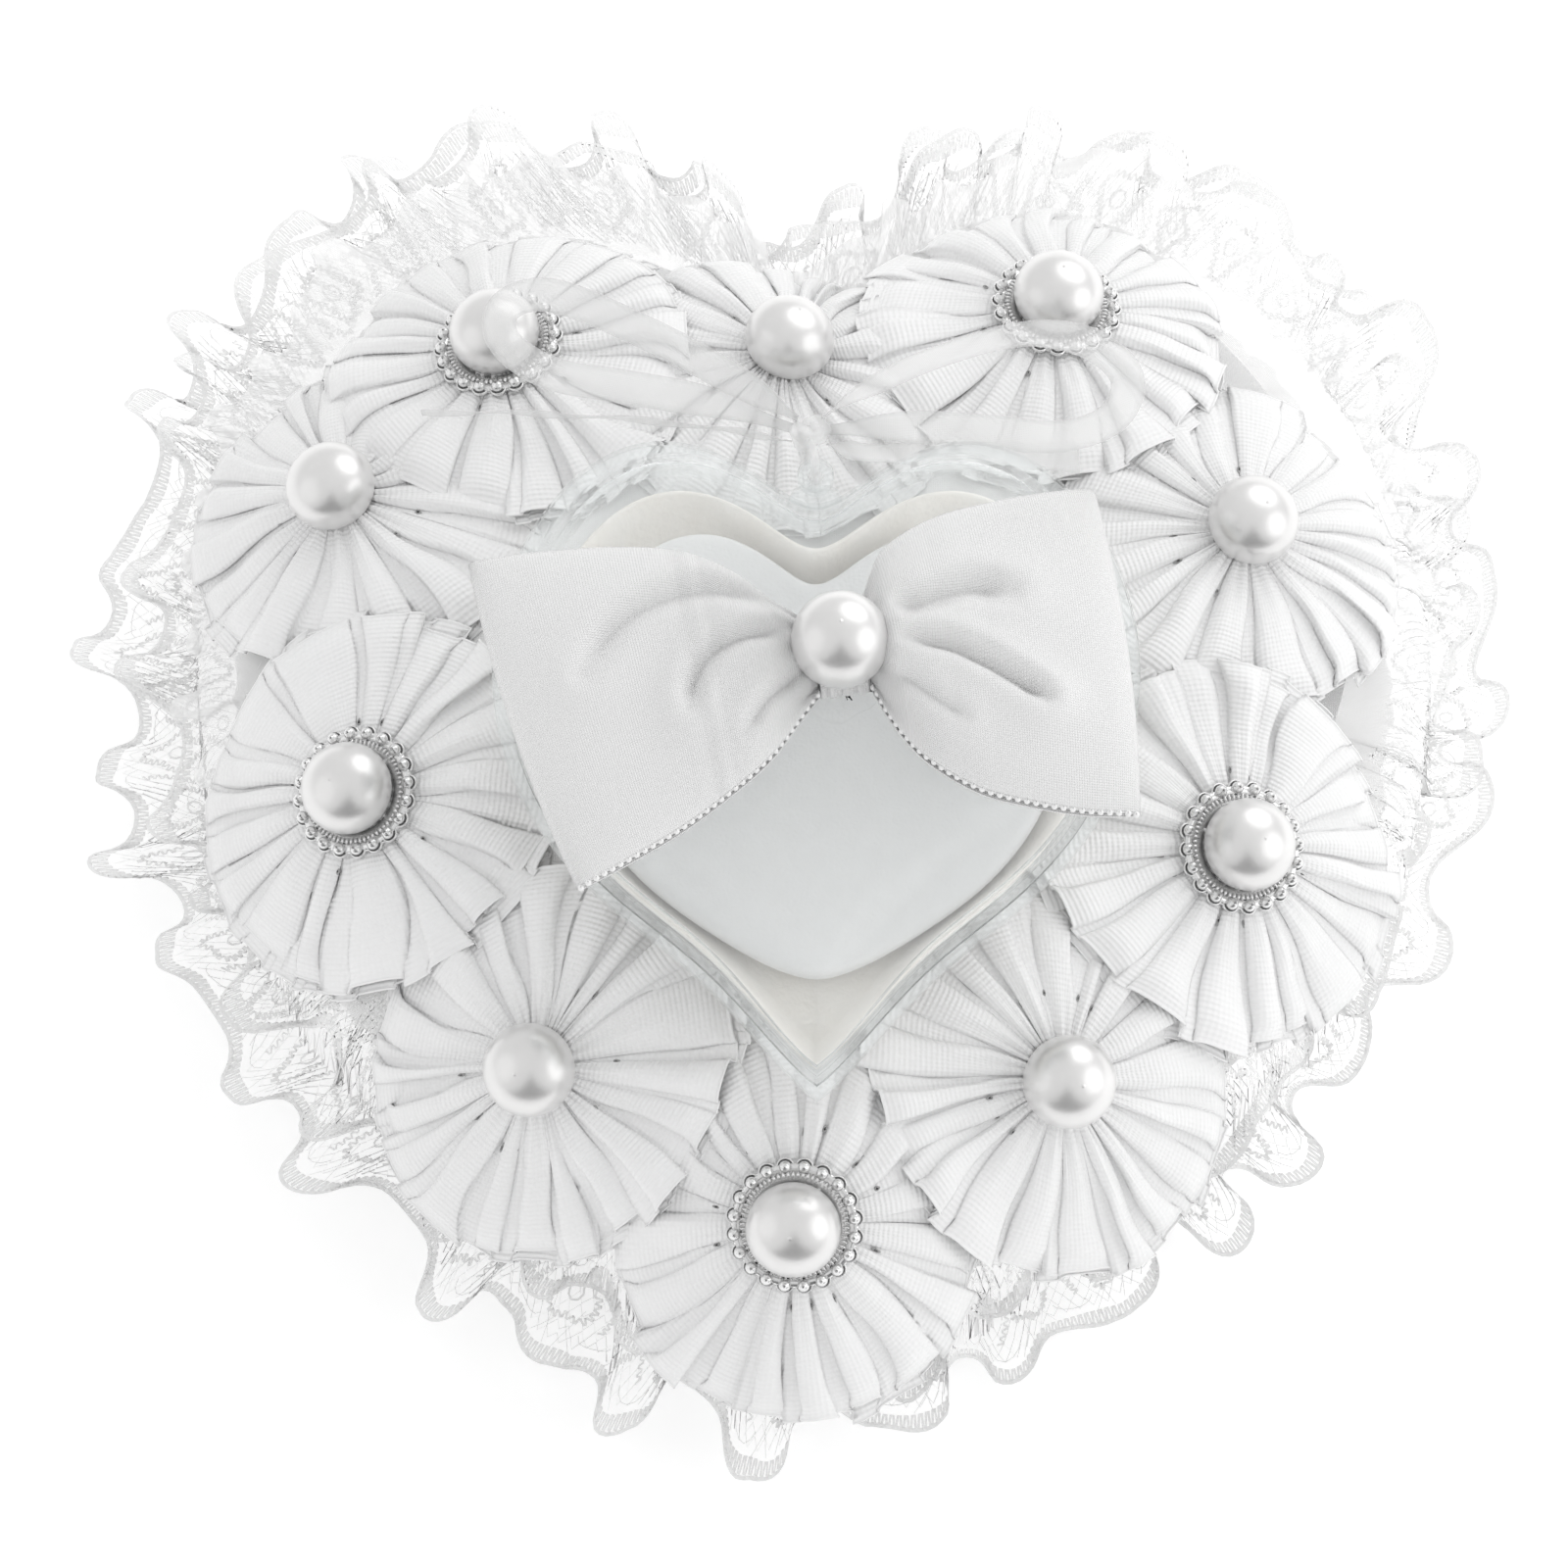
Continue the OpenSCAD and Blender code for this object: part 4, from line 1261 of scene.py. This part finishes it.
def glue_dab(name, x, y, low, high, radius, body, node):
    """A dab of clear glue, squashed between two surfaces."""
    angle = -round_angles(72)
    wobble = 1 + 0.06 * np.sin(3 * angle + 1) + 0.04 * np.sin(7 * angle)
    rings = []
    for grow, part in ((0.3, 0), (0.9, 0), (1, 0.2), (1.02, 0.5), (0.98, 0.85), (0.88, 1), (0.3, 1)):
        rings.append(circle(radius * grow * wobble, low + (high - low) * part, angle, x, y))
    piece = mesh_piece(name, *loft(rings), GLUE, body=body, slot="adhesive")
    piece.visible_shadow = False
    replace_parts(piece, node)


WAIST_Z = LID_TOP_Z + 5.2
WAIST = (6.4, 2.4)
WRAP_T, WRAP_HALF = 1.0, 4.0
WRAP_TOP_Z = WAIST_Z + WAIST[1] + 0.2 + WRAP_T
WRAP_BOTTOM_Z = WAIST_Z - WAIST[1] - 0.2 - WRAP_T
BOW_SPOT = (3.7, -10.6)
BOW_TURN = math.radians(9)
BOW_PEARL_D = 16.0
BASE_GLUE_Z, BASE_GLUE_R, BOW_GLUE_R = 58.0, 19.0, 7.0
glue_dab("base_glue", 0, BOX_Y, BASE_GLUE_Z, BASE_Z + 0.02, BASE_GLUE_R, "root", "base_adhesive")
glue_dab("bow_glue", BOW_SPOT[0], BOW_SPOT[1] - 2, LID_TOP_Z + 0.05, WRAP_BOTTOM_Z - 0.1, BOW_GLUE_R,
         "lid", "bow_adhesive")

# ---- Bow ----


def on_bow(points):
    """From the bow's own place, its width along x, to the row frame."""
    p = np.asarray(points, float)
    c, s = math.cos(BOW_TURN), math.sin(BOW_TURN)
    return np.stack([
        BOW_SPOT[0] + p[..., 0] * c - p[..., 1] * s,
        BOW_SPOT[1] + p[..., 0] * s + p[..., 1] * c,
        p[..., 2],
    ], -1)


# Edges of each loop from the waist out, in the bow's own place: x, y of the far edge, x, y of the near edge
LOOPS = {
    "left": (
        ((-4.3, 5.6), (-9, 10.0), (-15, 16.5), (-23, 22.0), (-34, 24.6), (-46, 25.8), (-57.5, 26.3)),
        ((-4.3, -5.8), (-8, -9.6), (-14, -15.7), (-22, -21.0), (-30, -25.4), (-39, -29.2), (-47.8, -32.6)),
    ),
    "right": (
        ((4.3, 5.8), (6.5, 11.5), (10.5, 17.5), (19, 21.4), (29, 22.8), (38, 23.2), (46.3, 23.0)),
        ((4.3, -5.8), (6.8, -12.5), (11, -19.5), (18.3, -26.0), (26, -29.6), (35, -32.6), (43.5, -34.2)),
    ),
}
# Grooves in the top layer, in the bow's own place: their lines, then depth, breadth, and rise of their banks
FOLDS = {
    "left": (
        (((-8.5, 7.6), (-16.2, 12.0), (-22.3, 13.0), (-30, 11.8), (-36.3, 8.0), (-41.6, 1.7)),
         2.6, 3.2, 1.5),
        (((-7.5, 2.2), (-14.4, 3.2), (-20.4, 1.4), (-24.2, -2.7), (-25.5, -7.2)), 2.4, 2.4, 1.7),
        (((-7, -3.5), (-13, -7.5), (-17, -12)), 1.2, 1.8, 0.9),
    ),
    "right": (
        (((9, 3.2), (15, 5.2), (22, 6.6), (28.5, 4.6)), 3.0, 3.3, 1.6),
        (((8, -1.4), (16.4, -3.2), (22.2, -6.6), (27.8, -11.0), (31.5, -14.4)), 3.4, 2.3, 2.4),
        (((7.5, -5.5), (13, -11), (18, -15.5)), 1.1, 1.8, 0.8),
    ),
}


def fold_height(x, y, folds):
    """How far the folds raise or dent a layer at each place."""
    high = np.zeros_like(x)
    for line, depth, breadth, banks in folds:
        ends = np.array(line, float)
        ends = curve_through(np.column_stack([ends, np.zeros(len(ends))]), 4)[:, :2]
        away = np.full_like(x, 1e9)
        fade = np.zeros_like(x)
        for k in range(len(ends) - 1):
            (x1, y1), (dx, dy) = ends[k], ends[k + 1] - ends[k]
            t = np.clip(((x - x1) * dx + (y - y1) * dy) / (dx * dx + dy * dy), 0, 1)
            d = np.hypot(x - x1 - t * dx, y - y1 - t * dy)
            along = (k + t) / (len(ends) - 1)
            here = smooth(-0.05, 0.22, along) * (1 - 0.6 * smooth(0.8, 1.05, along))
            fade = np.where(d < away, here, fade)
            away = np.minimum(away, d)
        high -= 1.8 * depth * fade * np.exp(-((away / (0.75 * breadth)) ** 2))
        high += 1.3 * banks * np.exp(-((away / (2.1 * breadth)) ** 2))
    return high


def bow_loop(side):
    """One loop's grid: along the ribbon over the top, round the end and back beneath, by across."""
    far, near = LOOPS[side]
    far, near = curve_through([(*p, 0) for p in far], 12), curve_through([(*p, 0) for p in near], 12)
    steps = len(far)
    across = np.linspace(0, 1, 81)
    u = np.linspace(0, 1, steps)[:, None]
    v = across[None, :]
    middle = 4 * v * (1 - v)
    x = near[:, :1] * (1 - v) + far[:, :1] * v
    y = near[:, 1:2] * (1 - v) + far[:, 1:2] * v
    sign = -1 if side == "left" else 1
    x = x + sign * 1.8 * middle * u**2
    grow = smooth(0, 0.35, u)
    puff = np.sin(math.pi * np.clip(u, 0, 1) ** 0.75) ** 0.8
    folds = fold_height(x, y, FOLDS[side]) * smooth(0.0, 0.08, u) * (1 - smooth(0.85, 1, u))
    gather = 0.7 * np.cos(v * 2 * math.pi * 5.0) * (1 - smooth(0, 0.3, u))
    end = np.sqrt(np.clip(1 - u**14, 0, 1))
    rise = 1.2 + 3.6 * grow
    top = WAIST_Z + rise * (0.35 + 0.65 * middle**0.6) * end + 4.0 * puff * middle**0.7
    top = top + folds * end + gather + 0.8 - 1.0 * u
    under = WAIST_Z - (1.0 + 1.6 * grow * middle) * end - 1.6 * puff * middle - 0.5 * gather + 0.8 - 1.0 * u
    under = np.maximum(under, LID_TOP_Z + 0.6)
    layers = [np.stack([x, y, top], -1), np.stack([x, y, under], -1)[::-1][1:]]
    return np.concatenate(layers)


def strip_weave(grid, width):
    """Flat places over a grid of points: along by length, across by width."""
    length = lengths_along(grid[:, grid.shape[1] // 2])
    across = np.linspace(0, width, grid.shape[1])
    a, b = np.meshgrid(length, across, indexing="ij")
    return np.stack([a, b, 0 * a], -1), length[-1]


BOW_RIBBON_W = 60.0
PICOT_PITCH, PICOT_R = 1.5, 0.56


def make_bow():
    parts, weaves, long = [], [], 0.0
    for side in LOOPS:
        grid = on_bow(bow_loop(side))
        weave, length = strip_weave(grid, BOW_RIBBON_W)
        parts.append((grid.reshape(-1, 3), grid_faces(*grid.shape[:2])))
        weaves.append(weave.reshape(-1, 3))
        long += length
    points, faces = joined(parts)
    piece = mesh_piece("bow_loops", points, faces, BOW_SATIN, body="lid", slot="bow_satin",
                       weave=np.concatenate(weaves))
    thicken(piece, 0.35)
    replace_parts(piece, "bow_ribbon")


def make_picots():
    """The ribbon's looped edge, as a row of small beads along its near side."""
    parts = []
    for side in LOOPS:
        grid = on_bow(bow_loop(side))
        line = grid[: len(grid) // 2 + 1, 0]
        length = lengths_along(line)
        for at in np.arange(0.6, length[-1], PICOT_PITCH):
            place = [np.interp(at, length, line[:, axis]) for axis in range(3)]
            parts.append(ball(place, PICOT_R, rings=6, sides=8))
    mesh_piece("bow_picots", *joined(parts), BOW_SATIN, body="lid", slot="bow_satin")


def make_wrap():
    """The band round the bow's waist, gathered into small folds."""
    columns, count = 25, 96
    angle = round_angles(count)
    rings = []
    for x in np.linspace(-WRAP_HALF, WRAP_HALF, columns):
        ripple = 0.22 * math.sin(x * 2.6) + 0.12 * math.sin(x * 5.3 + 1)
        wide, high = WAIST[0] - 0.6 + ripple, WAIST[1] + 0.6 + ripple
        ring = np.stack([np.full(count, x), wide * np.sin(angle), WAIST_Z + high * np.cos(angle)], 1)
        rings.append(on_bow(ring))
    weave = np.tile(np.stack([angle * 5, 0 * angle, 0 * angle], 1), (columns, 1))
    weave[:, 1] = np.repeat(np.linspace(0, 2 * WRAP_HALF, columns), count)
    faces = grid_faces(columns, count, columns_close=True)
    piece = mesh_piece("bow_wrap_band", np.concatenate(rings), faces, BOW_SATIN,
                       body="lid", slot="bow_satin", weave=weave)
    thicken(piece, 0.7)
    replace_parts(piece, "bow_wrap")


def make_bow_pearl():
    points, faces = flat_backed_pearl(BOW_PEARL_D, 0.84 * BOW_PEARL_D, 0.34 * BOW_PEARL_D)
    points = points + np.array([BOW_SPOT[0], BOW_SPOT[1], WRAP_TOP_Z + 0.05])
    piece = mesh_piece("bow_pearl_dome", points, faces, PEARL, body="lid", slot="pearl")
    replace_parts(piece, "bow_pearl")


make_bow()
make_picots()
make_wrap()
make_bow_pearl()

# ---- Stage ----

# The dark stand that shiny things see in front: how high it reaches, how fast it widens below, and
# how sharp and how dark it is
STAND_TOP = 1.0
STAND_SPREAD = 0.8
STAND_EDGE = 5.0
STAND_DARKNESS = 0.9
FLOOR_HALF, FLOOR_Z = 3000.0, -0.3
FLOOR_GLOW = 0.28
WORLD_STRENGTH = 0.8


def make_floor():
    points = [(x * FLOOR_HALF, y * FLOOR_HALF, FLOOR_Z) for x, y in ((-1, -1), (1, -1), (1, 1), (-1, 1))]
    material, tree, shader = new_material("table", grey(0.93), 0.9)
    shader.inputs["Emission Color"].default_value = (1, 1, 1, 1)
    shader.inputs["Emission Strength"].default_value = FLOOR_GLOW
    floor = mesh_piece("table", points, [[0, 1, 2, 3]], material, body=None)


def area_light(name, direction, distance, size, power):
    data = bpy.data.lights.new(name, "AREA")
    data.shape = "DISK"
    data.size = size
    data.energy = power
    light = bpy.data.objects.new(name, data)
    bpy.context.scene.collection.objects.link(light)
    way = Vector(direction).normalized()
    light.location = TARGET + way * distance
    light.rotation_mode = "QUATERNION"
    light.rotation_quaternion = way.to_track_quat("Z", "Y")
    light.visible_camera = False


def make_world(strength):
    """White all round; shiny things also see a dark stand in front, and the view itself sees plain white."""
    world = bpy.data.worlds.new("studio")
    world.use_nodes = True
    tree = world.node_tree
    background = tree.nodes["Background"]
    place = tree.nodes.new("ShaderNodeTexCoord")
    x, y, z = split(tree, place.outputs["Generated"])
    half_width = maths(tree, "MULTIPLY", maths(tree, "SUBTRACT", STAND_TOP, z), STAND_SPREAD)
    inside = maths(tree, "SUBTRACT", half_width, maths(tree, "ABSOLUTE", x))
    inside = maths(tree, "MULTIPLY", inside, STAND_EDGE)
    front = maths(tree, "MULTIPLY", y, -STAND_EDGE)
    inside = maths(tree, "MAXIMUM", maths(tree, "MINIMUM", inside, front), 0.0)
    stand = maths(tree, "MULTIPLY", maths(tree, "MINIMUM", inside, 1.0), STAND_DARKNESS)
    path = tree.nodes.new("ShaderNodeLightPath")
    stand = maths(tree, "MULTIPLY", stand, path.outputs["Is Glossy Ray"])
    mirrored = maths(tree, "SUBTRACT", 1.0, path.outputs["Is Transmission Ray"])
    stand = maths(tree, "MULTIPLY", stand, mirrored)
    light = maths(tree, "MULTIPLY", maths(tree, "SUBTRACT", 1.0, stand), strength)
    background.inputs["Color"].default_value = (1, 1, 1, 1)
    seen = path.outputs["Is Camera Ray"]
    kept = maths(tree, "MULTIPLY", light, maths(tree, "SUBTRACT", 1.0, seen))
    tree.links.new(maths(tree, "ADD", kept, seen), background.inputs["Strength"])
    bpy.context.scene.world = world


make_floor()
make_world(WORLD_STRENGTH)
# Each light's direction from the pillow, distance and size in metres, and power
LIGHTS = {
    "key": ((0.87, -0.17, 0.47), 0.9, 0.8, 1.3),
    "fill": ((-0.87, -0.17, 0.47), 0.9, 0.8, 0.4),
    "back": ((0.45, 0.75, 0.6), 1.0, 0.9, 2.2),
}
for light_name, facts in LIGHTS.items():
    area_light(light_name, *facts)
bpy.context.scene.view_settings.view_transform = "Standard"
bpy.context.scene.view_settings.look = "None"
